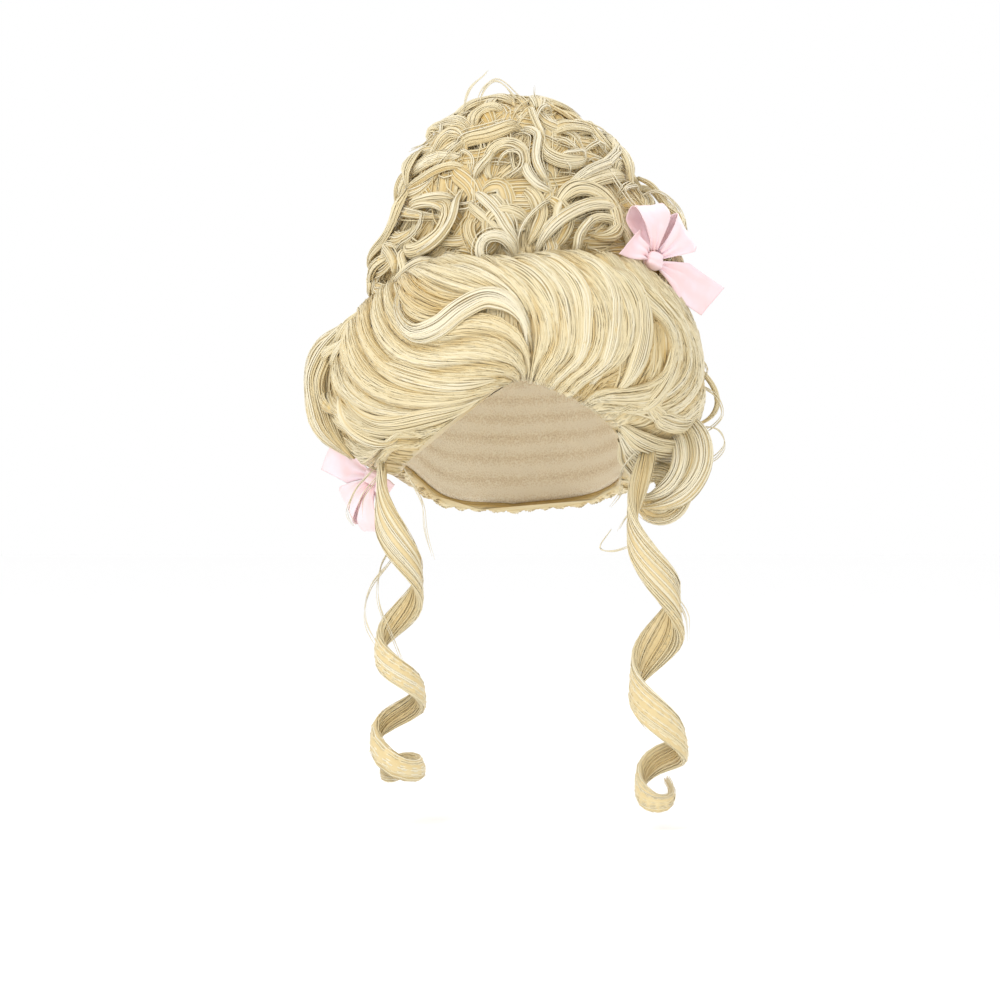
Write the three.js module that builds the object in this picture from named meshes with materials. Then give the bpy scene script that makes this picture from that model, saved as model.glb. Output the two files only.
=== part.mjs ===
// A court wig: a hollow cap carries a rolled front, a tall curled tower, swept-up back hair, hanging
// ringlets and two ribbon bows.
// Lengths are millimetres and angles are degrees. +Z is up and the wig's front is towards -Y.
// The origin is the inside of the cap's crown, where the wig sits when it is worn.
// An azimuth is 0 at the front, 90 towards +X, and 180 at the nape.

import * as THREE from "three";

// The hollow that the cap lines
const hollowWidth = 150;
const hollowLength = 190;
const widestDrop = 90; // from the crown down to the hollow's widest level
const napeTaper = 0.35; // how much the hollow draws in below that level
const capWall = 2;
const capSetback = 5; // from the hair's edge up to the cap's edge, so that the cap stays hidden
const capRings = 7; // from the crown down to the cap's edge
const footRing = 3; // the cap's ring where the roll ends and the tower's foot begins
const seam = 0.4; // clearance between pieces that meet

// The combed roll round the wig
const napeDrop = 150; // from the crown down to the hair's edge at the nape
const rollReach = 44; // how far the roll stands out past the hollow where it is fullest
const crestGap = 1.3; // from the roll's crest up to the widest part of the tower's foot
const combDepth = 3.6; // depth of the furrows between combed locks
const combSweep = 12; // degrees that a combed lock bows sideways at the roll's belly
const partingAzimuth = 5;
const earAzimuth = 112; // where the front waves end and the back hair begins

// The tower
const towerHeight = 109; // above the crown
const towerHalfWidth = 98;
const twistLocks = 12; // locks that twist up the tower under its curls
const twistDegrees = 55;
const twistDepth = 3;

// The locks that lie on the hair
const lockClearance = 0.35; // under a lock, at its middle line
const frontLockWidth = 13;
const frontLockThickness = 6;
const curlRadius = 20;
const curlWidth = 14;
const curlThickness = 8;
const crownLockWidth = 13;
const sideArchRise = 14;
const sideArchWidth = 22;
const sideArchThickness = 8;

// The curls that hang from the roll
const hangClearance = 1.4; // under the roll, at a hanging curl's middle line
const cheekCurlRadius = 17;
const cheekCurlWidth = 22;
const cheekCurlThickness = 10;
const ringletLength = 200;
const ringletSwing = 16; // radius of the ringlets' coils
const ringletWidth = 18;
const ringletThickness = 7;
const ringletForward = 12; // how far a ringlet's foot hangs in front of its top

// The bows
const ribbonWidth = 25;
const ribbonThickness = 1;
const knotWidth = 13;
const knotDepth = 11;
const bowLoopLength = 34;
const bowLoopDepth = 14;
const bowTailLength = 56;
const bowTailWave = 2.4;

// Round the wig. hairline, crest: shares of napeDrop below and above the crown. belly: share of the
// hairline's drop where the roll is fullest. reach: share of rollReach.
const rollSections = [
  { azimuth: -180, hairline: 1.0, belly: 0.47, reach: 0.57, crest: 0.0 },
  { azimuth: -140, hairline: 0.97, belly: 0.5, reach: 0.62, crest: -0.03 },
  { azimuth: -110, hairline: 0.84, belly: 0.58, reach: 0.8, crest: -0.12 },
  { azimuth: -80, hairline: 0.83, belly: 0.61, reach: 0.93, crest: -0.13 },
  { azimuth: -55, hairline: 0.76, belly: 0.58, reach: 0.8, crest: -0.04 },
  { azimuth: -30, hairline: 0.62, belly: 0.54, reach: 0.64, crest: 0.03 },
  { azimuth: 0, hairline: 0.475, belly: 0.53, reach: 0.5, crest: 0.03 },
  { azimuth: 15, hairline: 0.5, belly: 0.53, reach: 0.54, crest: 0.05 },
  { azimuth: 40, hairline: 0.6, belly: 0.56, reach: 0.75, crest: 0.05 },
  { azimuth: 65, hairline: 0.73, belly: 0.58, reach: 0.93, crest: -0.03 },
  { azimuth: 90, hairline: 0.83, belly: 0.56, reach: 1.0, crest: -0.12 },
  { azimuth: 130, hairline: 0.95, belly: 0.5, reach: 0.72, crest: -0.05 },
  { azimuth: 180, hairline: 1.0, belly: 0.47, reach: 0.57, crest: 0.0 },
];

// Up the tower. rise: share of towerHeight. The others are shares of towerHalfWidth, from the wig's axis.
const towerSections = [
  { rise: -0.3, left: 0.9, right: 0.98, front: 0.7, back: 0.95 },
  { rise: 0.0, left: 0.88, right: 0.98, front: 0.72, back: 0.94 },
  { rise: 0.17, left: 0.8, right: 0.97, front: 0.7, back: 0.9 },
  { rise: 0.34, left: 0.72, right: 0.89, front: 0.66, back: 0.84 },
  { rise: 0.52, left: 0.67, right: 0.73, front: 0.6, back: 0.76 },
  { rise: 0.69, left: 0.57, right: 0.6, front: 0.52, back: 0.64 },
  { rise: 0.84, left: 0.46, right: 0.46, front: 0.43, back: 0.5 },
  { rise: 0.95, left: 0.33, right: 0.33, front: 0.31, back: 0.34 },
  { rise: 1.0, left: 0.14, right: 0.14, front: 0.13, back: 0.14 },
];

// Locks on the front waves, as seen from the front. across: share of the roll's half width. drop: share of
// napeDrop below the crown.
const frontLocks = {
  front_lock_left_s: [
    { across: 0.055, drop: 0.42 },
    { across: 0.07, drop: 0.3 },
    { across: 0.0, drop: 0.2 },
    { across: -0.125, drop: 0.155 },
    { across: -0.26, drop: 0.195 },
    { across: -0.38, drop: 0.265 },
    { across: -0.5, drop: 0.285 },
    { across: -0.585, drop: 0.2 },
    { across: -0.59, drop: 0.09 },
    { across: -0.53, drop: 0.02 },
  ],
  front_lock_left_c: [
    { across: -0.06, drop: 0.46 },
    { across: -0.33, drop: 0.49 },
    { across: -0.6, drop: 0.44 },
    { across: -0.75, drop: 0.32 },
    { across: -0.745, drop: 0.2 },
    { across: -0.7, drop: 0.12 },
  ],
  front_lock_left_low: [
    { across: -0.16, drop: 0.57 },
    { across: -0.44, drop: 0.65 },
    { across: -0.7, drop: 0.64 },
    { across: -0.86, drop: 0.55 },
    { across: -0.9, drop: 0.42 },
    { across: -0.86, drop: 0.3 },
  ],
  front_lock_right_1: [
    { across: 0.17, drop: 0.43 },
    { across: 0.205, drop: 0.27 },
    { across: 0.13, drop: 0.11 },
    { across: -0.02, drop: 0.02 },
    { across: -0.15, drop: -0.015 },
  ],
  front_lock_right_2: [
    { across: 0.27, drop: 0.46 },
    { across: 0.345, drop: 0.3 },
    { across: 0.33, drop: 0.14 },
    { across: 0.24, drop: 0.03 },
    { across: 0.12, drop: -0.02 },
  ],
  front_lock_right_3: [
    { across: 0.38, drop: 0.49 },
    { across: 0.48, drop: 0.32 },
    { across: 0.49, drop: 0.14 },
    { across: 0.4, drop: 0.02 },
    { across: 0.28, drop: -0.02 },
  ],
  front_lock_right_4: [
    { across: 0.5, drop: 0.53 },
    { across: 0.62, drop: 0.37 },
    { across: 0.65, drop: 0.2 },
    { across: 0.58, drop: 0.07 },
    { across: 0.47, drop: 0.01 },
  ],
  front_lock_right_5: [
    { across: 0.62, drop: 0.59 },
    { across: 0.78, drop: 0.45 },
    { across: 0.82, drop: 0.29 },
    { across: 0.77, drop: 0.15 },
  ],
  front_lock_right_low: [
    { across: 0.7, drop: 0.735 },
    { across: 0.84, drop: 0.705 },
    { across: 0.935, drop: 0.6 },
    { across: 0.955, drop: 0.45 },
  ],
};

// Curls pinned round the tower. level: share of the tower's height over the roll. radius: share of
// curlRadius. width: share of curlWidth. start, sweep: degrees of turn, anticlockwise as seen from outside.
// shrink: how much the curl winds in.
const towerCurls = [
  { azimuth: 31, level: 0.23, radius: 1, start: 205, sweep: -320, shrink: 0.4, width: 0.93 },
  { azimuth: -43, level: 0.25, radius: 0.85, start: 150, sweep: 315, shrink: 0.3, width: 0.86 },
  { azimuth: -46, level: 0.64, radius: 0.85, start: 200, sweep: -225, shrink: 0.1, width: 0.93 },
  { azimuth: -4, level: 0.57, radius: 0.65, start: 230, sweep: -300, shrink: 0.25, width: 0.64 },
  { azimuth: -5, level: 0.17, radius: 0.65, start: -20, sweep: 255, shrink: 0.3, width: 0.79 },
  { azimuth: 30, level: 0.69, radius: 0.7, start: 130, sweep: 250, shrink: 0.1, width: 0.79 },
  { azimuth: 74, level: 0.5, radius: 0.95, start: 200, sweep: -235, shrink: 0.15, width: 0.93 },
  { azimuth: 84, level: 0.79, radius: 0.55, start: 20, sweep: 300, shrink: 0.25, width: 0.64 },
  { azimuth: -84, level: 0.24, radius: 1, start: 60, sweep: 300, shrink: 0.35, width: 1 },
  { azimuth: -98, level: 0.65, radius: 0.85, start: 110, sweep: -300, shrink: 0.35, width: 0.93 },
  { azimuth: 110, level: 0.23, radius: 1, start: 240, sweep: -310, shrink: 0.4, width: 1 },
  { azimuth: 124, level: 0.65, radius: 0.85, start: 60, sweep: 300, shrink: 0.35, width: 0.93 },
  { azimuth: 146, level: 0.22, radius: 1.05, start: 20, sweep: 310, shrink: 0.4, width: 1 },
  { azimuth: 174, level: 0.61, radius: 0.9, start: 200, sweep: -300, shrink: 0.35, width: 0.93 },
  { azimuth: -175, level: 0.2, radius: 1, start: 120, sweep: -310, shrink: 0.4, width: 1 },
  { azimuth: -143, level: 0.62, radius: 0.85, start: 300, sweep: 300, shrink: 0.35, width: 0.93 },
  { azimuth: -131, level: 0.22, radius: 1.05, start: 250, sweep: -305, shrink: 0.4, width: 1 },
];

// Locks laid over the tower's top, in plan. x, y: shares of the tower's half width.
const crownLocks = [
  { from: { x: -0.36, y: -0.2 }, over: { x: -0.13, y: -0.1 }, to: { x: 0.0, y: -0.34 } },
  { from: { x: 0.14, y: -0.36 }, over: { x: 0.16, y: -0.08 }, to: { x: 0.4, y: -0.04 } },
  { from: { x: -0.34, y: 0.12 }, over: { x: -0.02, y: 0.12 }, to: { x: 0.28, y: 0.3 } },
];

// A lock that stands off the left side in an arch. azimuth and share give its places on the roll.
const sideArch = [
  { azimuth: -87, share: 0.75 },
  { azimuth: -91, share: 0.6 },
  { azimuth: -92, share: 0.45 },
  { azimuth: -88, share: 0.25 },
];

// A barrel curl at the right cheek, an open hoop under the roll. azimuth and share give the place on the
// roll that its top touches.
const cheekCurl = { azimuth: 80, share: 0.13, start: 112, sweep: -290, shrink: 0.15 };

// Ringlets. azimuth, share: the place on the roll that the top hangs from. length: share of ringletLength.
// lean: how far the foot drifts outwards, and swing: the coils' radius at the top and foot, as shares of
// ringletSwing. turns, quicken: coils, and how they tighten downwards. width: shares of ringletWidth.
const ringlets = {
  ringlet_left: {
    azimuth: -68, share: 0.12, length: 1.0, lean: 0, swing: [0.69, 1.06], phase: 180,
    turns: 2.65, quicken: 1.75, width: [0.8, 1.0, 0.84, 0.72, 0.67, 0.5],
  },
  ringlet_right: {
    azimuth: 66, share: 0.12, length: 1.09, lean: 0.3, swing: [0.75, 1.0], phase: 92,
    turns: 2.2, quicken: 1.45, width: [0.78, 0.8, 0.95, 1.4, 1.05, 0.84, 0.6],
  },
};

// Bows. azimuth, share: the place on the roll that the knot sits over. over: its distance from there, as a
// share of knotDepth. facing: the azimuth that the bow looks towards. turn: degrees from level for two
// loops and two tails. tails: shares of bowTailLength.
const bows = {
  bow_right: {
    azimuth: 55, share: 0.93, over: 0.68, facing: 42, turn: [38, 100, -24, 156], tails: [1, 0.45],
  },
  bow_left: {
    azimuth: -96, share: 0.12, over: 0.62, facing: -55, turn: [217, 275, 164, 329], tails: [1, 0.4],
  },
};

const rad = THREE.MathUtils.degToRad;
const mix = THREE.MathUtils.lerp;

const colours = {
  hair: new THREE.MeshStandardMaterial({ color: 0xefe2b4, roughness: 0.45, metalness: 0 }),
  underHair: new THREE.MeshStandardMaterial({ color: 0xdcc791, roughness: 0.55, metalness: 0 }),
  net: new THREE.MeshStandardMaterial({ color: 0xd9c7a4, roughness: 0.85, metalness: 0 }),
  ribbon: new THREE.MeshStandardMaterial({ color: 0xf7cfd6, roughness: 0.35, metalness: 0 }),
};

// A column of a table read between its rows, on a smooth curve through them.
function readTable(rows, by, column, at) {
  const last = rows.length - 1;
  let row = 0;
  while (row < last - 1 && at > rows[row + 1][by]) row += 1;
  const a = rows[row];
  const b = rows[row + 1];
  const share = THREE.MathUtils.clamp((at - a[by]) / (b[by] - a[by]), 0, 1);
  const slope = (p, q) => (q[column] - p[column]) / (q[by] - p[by]);
  const before = slope(rows[Math.max(row - 1, 0)], b);
  const after = slope(a, rows[Math.min(row + 2, last)]);
  const span = b[by] - a[by];
  const s2 = share * share;
  const s3 = s2 * share;
  return (
    (2 * s3 - 3 * s2 + 1) * a[column] +
    (s3 - 2 * s2 + share) * span * before +
    (3 * s2 - 2 * s3) * b[column] +
    (s3 - s2) * span * after
  );
}

// A value that runs through a short list as share goes from 0 to 1.
function along(values, share) {
  const at = share * (values.length - 1);
  const step = Math.min(Math.floor(at), values.length - 2);
  return mix(values[step], values[step + 1], at - step);
}

function wrapAzimuth(azimuth) {
  return THREE.MathUtils.euclideanModulo(azimuth + 180, 360) - 180;
}

// A point on an oval with its own half width and half length
function onOval(azimuth, halfWidth, halfLength, z) {
  return new THREE.Vector3(halfWidth * Math.sin(rad(azimuth)), -halfLength * Math.cos(rad(azimuth)), z);
}

// The head's surface at a depth under the crown, moved outwards by offset.
function skullPoint(azimuth, depth, offset) {
  const down = depth / widestDrop;
  const lean = Math.max(0, 1 - down);
  const share = down < 1 ? Math.sqrt(1 - lean * lean) : 1 - napeTaper * (down - 1) ** 2;
  const z = down < 1 ? (widestDrop + offset) * lean - widestDrop : -depth;
  return onOval(azimuth, (hollowWidth / 2 + offset) * share, (hollowLength / 2 + offset) * share, z);
}

function hairlineDrop(azimuth) {
  return napeDrop * readTable(rollSections, "azimuth", "hairline", wrapAzimuth(azimuth));
}

function crestHeight(azimuth) {
  return napeDrop * readTable(rollSections, "azimuth", "crest", wrapAzimuth(azimuth));
}

// The tower's side at a height, moved outwards by offset.
function towerSide(azimuth, z, offset) {
  const read = (column) => towerHalfWidth * readTable(towerSections, "rise", column, z / towerHeight);
  const halfWidth = read(Math.sin(rad(azimuth)) < 0 ? "left" : "right");
  const halfLength = read(Math.cos(rad(azimuth)) < 0 ? "back" : "front");
  return onOval(azimuth, halfWidth + offset, halfLength + offset, z);
}

// The tower by level: 0 at the roll's crest, 1 at the top.
function towerPoint(azimuth, level) {
  return towerSide(azimuth, mix(crestHeight(azimuth), towerHeight, level), 0);
}

// Depths of the cap's rings, which crowd towards the crown, where the cap turns over.
function ringDepths(azimuth) {
  const edge = hairlineDrop(azimuth) - capSetback;
  return Array.from({ length: capRings }, (_, i) => edge * ((i + 1) / capRings) ** 1.6);
}

// The roll's outer face. share: 0 at the hairline, 0.5 at the belly, 1 at the crest.
function rollPoint(azimuth, share, inset = 0) {
  const here = wrapAzimuth(azimuth);
  const read = (column) => readTable(rollSections, "azimuth", column, here);
  const drop = hairlineDrop(here);
  const out = rollReach * read("reach") - inset;
  const belly = onOval(here, hollowWidth / 2 + out, hollowLength / 2 + out, -drop * read("belly"));
  const lower = share < 0.5;
  const end = lower
    ? skullPoint(here, drop, capWall + seam)
    : towerSide(here, crestHeight(here), seam);
  const turn = Math.PI * (lower ? share : 1 - share);
  const outwards = Math.sin(turn);
  const towardsEnd = Math.cos(turn);
  return new THREE.Vector3(
    mix(end.x, belly.x, outwards),
    mix(end.y, belly.y, outwards),
    mix(belly.z, end.z, towardsEnd),
  );
}

function normalOf(surface, u, v, du, dv) {
  const across = surface(u + du, v).sub(surface(u - du, v));
  const up = surface(u, v + dv).sub(surface(u, v - dv));
  return across.cross(up).normalize();
}

// Triangles between rows of points. Each row is closed on itself.
function addSkin(faces, rows, count) {
  for (let row = 0; row + 1 < rows; row += 1) {
    for (let i = 0; i < count; i += 1) {
      const next = (i + 1) % count;
      const a = row * count + i;
      const b = row * count + next;
      const c = a + count;
      const d = b + count;
      faces.push(a, b, d, a, d, c);
    }
  }
}

function solidFrom(points, faces) {
  const flat = points.flatMap((p) => [p.x, p.y, p.z]);
  return new THREE.BufferGeometry()
    .setAttribute("position", new THREE.Float32BufferAttribute(flat, 3))
    .setIndex(faces);
}

// A closed body round the vertical axis: rings go up the outside, from one point on the axis to another.
function turnedBody(foot, rings, top) {
  const count = rings[0].length;
  const points = [...rings.flat(), foot, top];
  const faces = [];
  addSkin(faces, rings.length, count);
  const footIndex = rings.length * count;
  const lastRow = footIndex - count;
  for (let i = 0; i < count; i += 1) {
    const next = (i + 1) % count;
    faces.push(footIndex, next, i, footIndex + 1, lastRow + i, lastRow + next);
  }
  return solidFrom(points, faces);
}

// A body lofted through closed sections. The outlines are its first and last sections laid flat.
function loftedBody(sections, firstOutline, lastOutline = firstOutline) {
  const count = sections[0].length;
  const faces = [];
  addSkin(faces, sections.length, count);
  const last = (sections.length - 1) * count;
  for (const [a, b, c] of THREE.ShapeUtils.triangulateShape(firstOutline, [])) {
    faces.push(c, b, a);
  }
  for (const [a, b, c] of THREE.ShapeUtils.triangulateShape(lastOutline, [])) {
    faces.push(last + a, last + b, last + c);
  }
  return solidFrom(sections.flat(), faces);
}

// An oval section swept along a path. size(share) gives width and thickness, facing(share) the thin way.
function sweptLock(path, steps, sides, size, facing) {
  const sections = [];
  for (let step = 0; step <= steps; step += 1) {
    const share = step / steps;
    const middle = path.getPointAt(share);
    const forward = path.getTangentAt(share);
    const side = forward.clone().cross(facing(share, middle)).normalize();
    const out = side.clone().cross(forward);
    const { width, thickness } = size(share);
    const section = [];
    for (let i = 0; i < sides; i += 1) {
      const turn = (2 * Math.PI * i) / sides;
      section.push(
        middle
          .clone()
          .addScaledVector(side, (width / 2) * Math.cos(turn))
          .addScaledVector(out, (-thickness / 2) * Math.sin(turn)),
      );
    }
    sections.push(section);
  }
  const outline = sections[0].map((_, i) => {
    const turn = (2 * Math.PI * i) / sides;
    return new THREE.Vector2(Math.cos(turn), Math.sin(turn));
  });
  return loftedBody(sections, outline);
}

// A lock is full along its middle and tapers to its two ends.
function tapered(width, thickness, rootShare = 0.55, tipShare = 0.35) {
  return (share) => {
    const swell = Math.min(1, mix(rootShare, 1, share / 0.25), mix(tipShare, 1, (1 - share) / 0.35));
    return { width: width * swell, thickness: thickness * mix(0.6, 1, swell) };
  };
}

// A lock that lies on a surface. spots are the surface's own two coordinates, steps of which give its
// outward direction. arch lifts the lock's middle.
function surfaceLock({ surface, stepU, stepV, spots, width, thickness, steps, sides, arch = 0 }) {
  const size = tapered(width, thickness);
  const flat = new THREE.SplineCurve(spots.map(([u, v]) => new THREE.Vector2(u, v)));
  const places = flat.getPoints(2 * steps).map(({ x: u, y: v }, i) => {
    const share = i / (2 * steps);
    const out = normalOf(surface, u, v, stepU, stepV);
    const lift = size(share).thickness / 2 + lockClearance + arch * Math.sin(Math.PI * share) ** 1.6;
    return { point: surface(u, v).addScaledVector(out, lift), out };
  });
  const path = new THREE.CatmullRomCurve3(places.map(({ point }) => point), false, "centripetal");
  const facing = (share, middle) => {
    const nearest = places.reduce((best, place) =>
      place.point.distanceToSquared(middle) < best.point.distanceToSquared(middle) ? place : best,
    );
    return nearest.out;
  };
  return sweptLock(path, steps, sides, size, facing);
}

function wigCap() {
  const around = 36; // the tower's foot takes the same steps
  const ring = (level, offset) =>
    Array.from({ length: around }, (_, i) => {
      const azimuth = (360 * i) / around;
      return skullPoint(azimuth, ringDepths(azimuth)[level], offset);
    });
  const levels = Array.from({ length: capRings }, (_, i) => i);
  const inside = levels.map((level) => ring(level, 0));
  const outside = levels.reverse().map((level) => ring(level, capWall));
  return turnedBody(skullPoint(0, 0, 0), [...inside, ...outside], skullPoint(0, 0, capWall));
}

// Part of the roll between two azimuths. Its inner side lies on the cap. Its outer side is combed into
// locks, each three steps wide with a furrow at either side, which bow sideways at the belly.
function rollPart(fromAzimuth, toAzimuth, locks) {
  const onFace = 12;
  const steps = 3 * locks;
  const halfSeam = THREE.MathUtils.radToDeg(seam / hollowWidth);
  const section = (azimuth, step) => {
    const onCap = ringDepths(azimuth).slice(footRing);
    const inner = onCap.map((depth) => skullPoint(azimuth, depth, capWall + seam));
    const outer = Array.from({ length: onFace + 1 }, (_, i) => {
      const share = i / onFace;
      const swell = Math.sin(Math.PI * share);
      const bowed = azimuth + combSweep * Math.sin(rad(azimuth)) * swell;
      const furrow = step % 3 === 0 ? combDepth * Math.sqrt(swell) : 0;
      return rollPoint(bowed, share, furrow);
    });
    return [...inner, ...outer];
  };
  const sections = Array.from({ length: steps + 1 }, (_, i) =>
    section(mix(toAzimuth - halfSeam, fromAzimuth + halfSeam, i / steps), i),
  );
  const outlineAt = (azimuth) =>
    section(azimuth, 0).map((p) => new THREE.Vector2(Math.hypot(p.x, p.y), p.z));
  return loftedBody(sections, outlineAt(toAzimuth), outlineAt(fromAzimuth));
}

// The tower under its curls. Its foot lies on the cap, its side twists up in locks of three steps each.
function tower() {
  const around = 3 * twistLocks;
  const ringAt = (place) => Array.from({ length: around }, (_, i) => place((360 * i) / around, i));
  const sideShares = [0, 0.14, 0.29, 0.44, 0.6, 0.74, 0.86, 0.95, 1];
  const lift = capWall + seam;
  const underside = Array.from({ length: footRing }, (_, level) =>
    ringAt((azimuth) => skullPoint(azimuth, ringDepths(azimuth)[level], lift)),
  );
  const side = sideShares.map((share) =>
    ringAt((azimuth, i) => {
      const turned = azimuth + twistDegrees * share;
      const furrow = i % 3 === 0 ? -twistDepth * Math.min(1, 5 * share) * (1 - share) : 0;
      return towerSide(turned, mix(crestHeight(turned) + crestGap, towerHeight, share), furrow);
    }),
  );
  const top = new THREE.Vector3(0, 0, towerHeight + 1);
  return turnedBody(skullPoint(0, 0, lift), [...underside, ...side], top);
}

// The azimuth and share of the roll that show at a given spot from the front.
function frontSpot({ across, drop }) {
  const x = across * (hollowWidth / 2 + rollReach);
  const z = -drop * napeDrop;
  const solve = (low, high, tooLow) => {
    for (let i = 0; i < 24; i += 1) {
      const middle = (low + high) / 2;
      if (tooLow(middle)) low = middle;
      else high = middle;
    }
    return (low + high) / 2;
  };
  let azimuth = 0;
  let share = 0.5;
  for (let round = 0; round < 12; round += 1) {
    share = solve(0.04, 0.97, (s) => rollPoint(azimuth, s).z < z);
    azimuth = solve(-90, 90, (a) => rollPoint(a, share).x < x);
  }
  return [azimuth, share];
}

function rollLock(spots, width, thickness, arch) {
  return surfaceLock({
    surface: rollPoint, stepU: 1, stepV: 0.01, spots, width, thickness, steps: 13, sides: 6, arch,
  });
}

// The path of a curl that winds in, as offsets across and up.
function windingCurl({ radius, start, sweep, shrink }, count) {
  return Array.from({ length: count }, (_, i) => {
    const share = i / (count - 1);
    const turn = rad(start + sweep * share);
    const reach = radius * (1 - shrink * share);
    return { across: reach * Math.cos(turn), up: reach * Math.sin(turn) };
  });
}

function towerCurl(row) {
  const middle = towerPoint(row.azimuth, row.level);
  const span = towerHeight - crestHeight(row.azimuth);
  const degreesPerMm = 1 / rad(Math.hypot(middle.x, middle.y));
  const spots = windingCurl({ ...row, radius: row.radius * curlRadius }, 11).map(({ across, up }) => [
    row.azimuth + across * degreesPerMm,
    row.level + up / span,
  ]);
  return surfaceLock({
    surface: towerPoint, stepU: 1, stepV: 0.01, spots,
    width: row.width * curlWidth, thickness: curlThickness, steps: 11, sides: 6,
  });
}

// The place on the tower's top that shows at a given spot from above.
function crownPoint(x, y) {
  const azimuth = THREE.MathUtils.radToDeg(Math.atan2(x, -y));
  let low = 0.3;
  let high = 1;
  for (let i = 0; i < 24; i += 1) {
    const level = (low + high) / 2;
    const side = towerPoint(azimuth, level);
    if (Math.hypot(side.x, side.y) > Math.hypot(x, y)) low = level;
    else high = level;
  }
  return new THREE.Vector3(x, y, mix(crestHeight(azimuth), towerHeight, low));
}

function crownLock({ from, over, to }) {
  const spots = [from, over, to].map(({ x, y }) => [x * towerHalfWidth, y * towerHalfWidth]);
  return surfaceLock({
    surface: crownPoint, stepU: 1, stepV: 1, spots,
    width: crownLockWidth, thickness: curlThickness, steps: 11, sides: 6,
  });
}

// A point at a distance over the roll's face.
function overRoll({ azimuth, share }, distance) {
  return rollPoint(azimuth, share).addScaledVector(normalOf(rollPoint, azimuth, share, 1, 0.01), distance);
}

// A broad strip of hair rolled into an open hoop that faces outwards.
function barrelCurl(row, radius, width, thickness) {
  const middle = rollPoint(row.azimuth, row.share);
  middle.z -= radius + thickness / 2 + hangClearance;
  const outwards = new THREE.Vector3(Math.sin(rad(row.azimuth)), -Math.cos(rad(row.azimuth)), 0);
  const up = new THREE.Vector3(0, 0, 1);
  const places = windingCurl({ ...row, radius }, 10).map(({ across, up: rise }) =>
    middle.clone().addScaledVector(outwards, across).addScaledVector(up, rise),
  );
  const path = new THREE.CatmullRomCurve3(places, false, "centripetal");
  const facing = (share, point) => point.clone().sub(middle).normalize();
  return sweptLock(path, 14, 6, tapered(width, thickness, 0.6, 0.5), facing);
}

// A lock that hangs in coils, which tighten and widen towards its foot. The row's swing, lean and width
// are shares of the sizes.
function hangingCurl(row, { length, forward, swing, width, thickness }, steps, sides) {
  const top = overRoll(row, hangClearance);
  const outwards = Math.sign(top.x);
  const start = rad(row.phase);
  const turnAt = (share) => start + 2 * Math.PI * row.turns * share ** row.quicken;
  const coilAt = (share) => {
    const radius = swing * mix(row.swing[0], row.swing[1], share ** 2);
    return new THREE.Vector3(radius * Math.cos(turnAt(share)), radius * Math.sin(turnAt(share)), 0);
  };
  const axis = top.clone().sub(coilAt(0));
  const foot = new THREE.Vector3(outwards * row.lean * swing, -forward, -length);
  const places = Array.from({ length: 41 }, (_, i) => {
    const share = i / 40;
    return axis.clone().addScaledVector(foot, share).add(coilAt(share));
  });
  const path = new THREE.CatmullRomCurve3(places, false, "centripetal");
  const facing = (share) => {
    const turn = turnAt(path.getUtoTmapping(share));
    return new THREE.Vector3(Math.cos(turn), Math.sin(turn), 0.15);
  };
  const size = (share) => ({
    width: width * along(row.width, share) * Math.min(1, 0.6 + 3 * share),
    thickness: thickness * Math.min(1, 0.6 + 3 * share, 0.45 + 3 * (1 - share)),
  });
  return sweptLock(path, steps, sides, size, facing);
}

// A flat ribbon bent along stations of x (along), z (away from the hair) and width.
function bentRibbon(stations, steps) {
  const path = new THREE.CatmullRomCurve3(
    stations.map(({ x, z }) => new THREE.Vector3(x, 0, z)),
    false,
    "centripetal",
  );
  const widths = stations.map(({ width }) => width);
  const sections = [];
  for (let step = 0; step <= steps; step += 1) {
    const share = step / steps;
    const middle = path.getPoint(share);
    const forward = path.getTangent(share);
    const out = new THREE.Vector3(-forward.z, 0, forward.x).multiplyScalar(ribbonThickness / 2);
    const half = new THREE.Vector3(0, along(widths, share) / 2, 0);
    sections.push([
      middle.clone().add(half).add(out),
      middle.clone().sub(half).add(out),
      middle.clone().sub(half).sub(out),
      middle.clone().add(half).sub(out),
    ]);
  }
  const outline = [[1, 1], [-1, 1], [-1, -1], [1, -1]].map(([x, y]) => new THREE.Vector2(x, y));
  return loftedBody(sections, outline);
}

// A ribbon is gathered at its knot and fans out to its full width.
function fannedWidth(x) {
  return Math.min(ribbonWidth, 0.92 * x);
}

function bowLoop() {
  const near = knotWidth / 2 + seam;
  const half = bowLoopDepth / 2;
  const stations = [
    { along: 0, z: -0.17 },
    { along: 0.3, z: -0.75 },
    { along: 0.72, z: -1 },
    { along: 1, z: -0.3 },
    { along: 1, z: 0.4 },
    { along: 0.72, z: 1 },
    { along: 0.3, z: 0.75 },
    { along: 0, z: 0.17 },
  ].map((row) => {
    const x = mix(near, bowLoopLength, row.along);
    return { x, z: half * row.z, width: fannedWidth(x) };
  });
  return bentRibbon(stations, 14);
}

function bowTail(length) {
  const near = knotWidth / 2 + seam;
  const stations = [
    { along: 0, z: 0 },
    { along: 0.25, z: 1 },
    { along: 0.6, z: 0.25 },
    { along: 1, z: 0.9 },
  ].map((row) => {
    const x = mix(near, length, row.along);
    return { x, z: bowTailWave * row.z, width: fannedWidth(x) };
  });
  return bentRibbon(stations, 8);
}

function bowKnot() {
  const profile = [
    [0, -0.5], [0.32, -0.5], [0.5, -0.25], [0.5, 0.25], [0.32, 0.5], [0, 0.5],
  ].map(([r, z]) => new THREE.Vector2(r * knotWidth, z * knotDepth));
  return new THREE.LatheGeometry(profile, 10).rotateX(Math.PI / 2).scale(1, 0.9, 1);
}

function named(name, geometry, material) {
  const mesh = new THREE.Mesh(geometry, material.clone());
  mesh.name = name;
  return mesh;
}

const wig = new THREE.Group();

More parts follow.
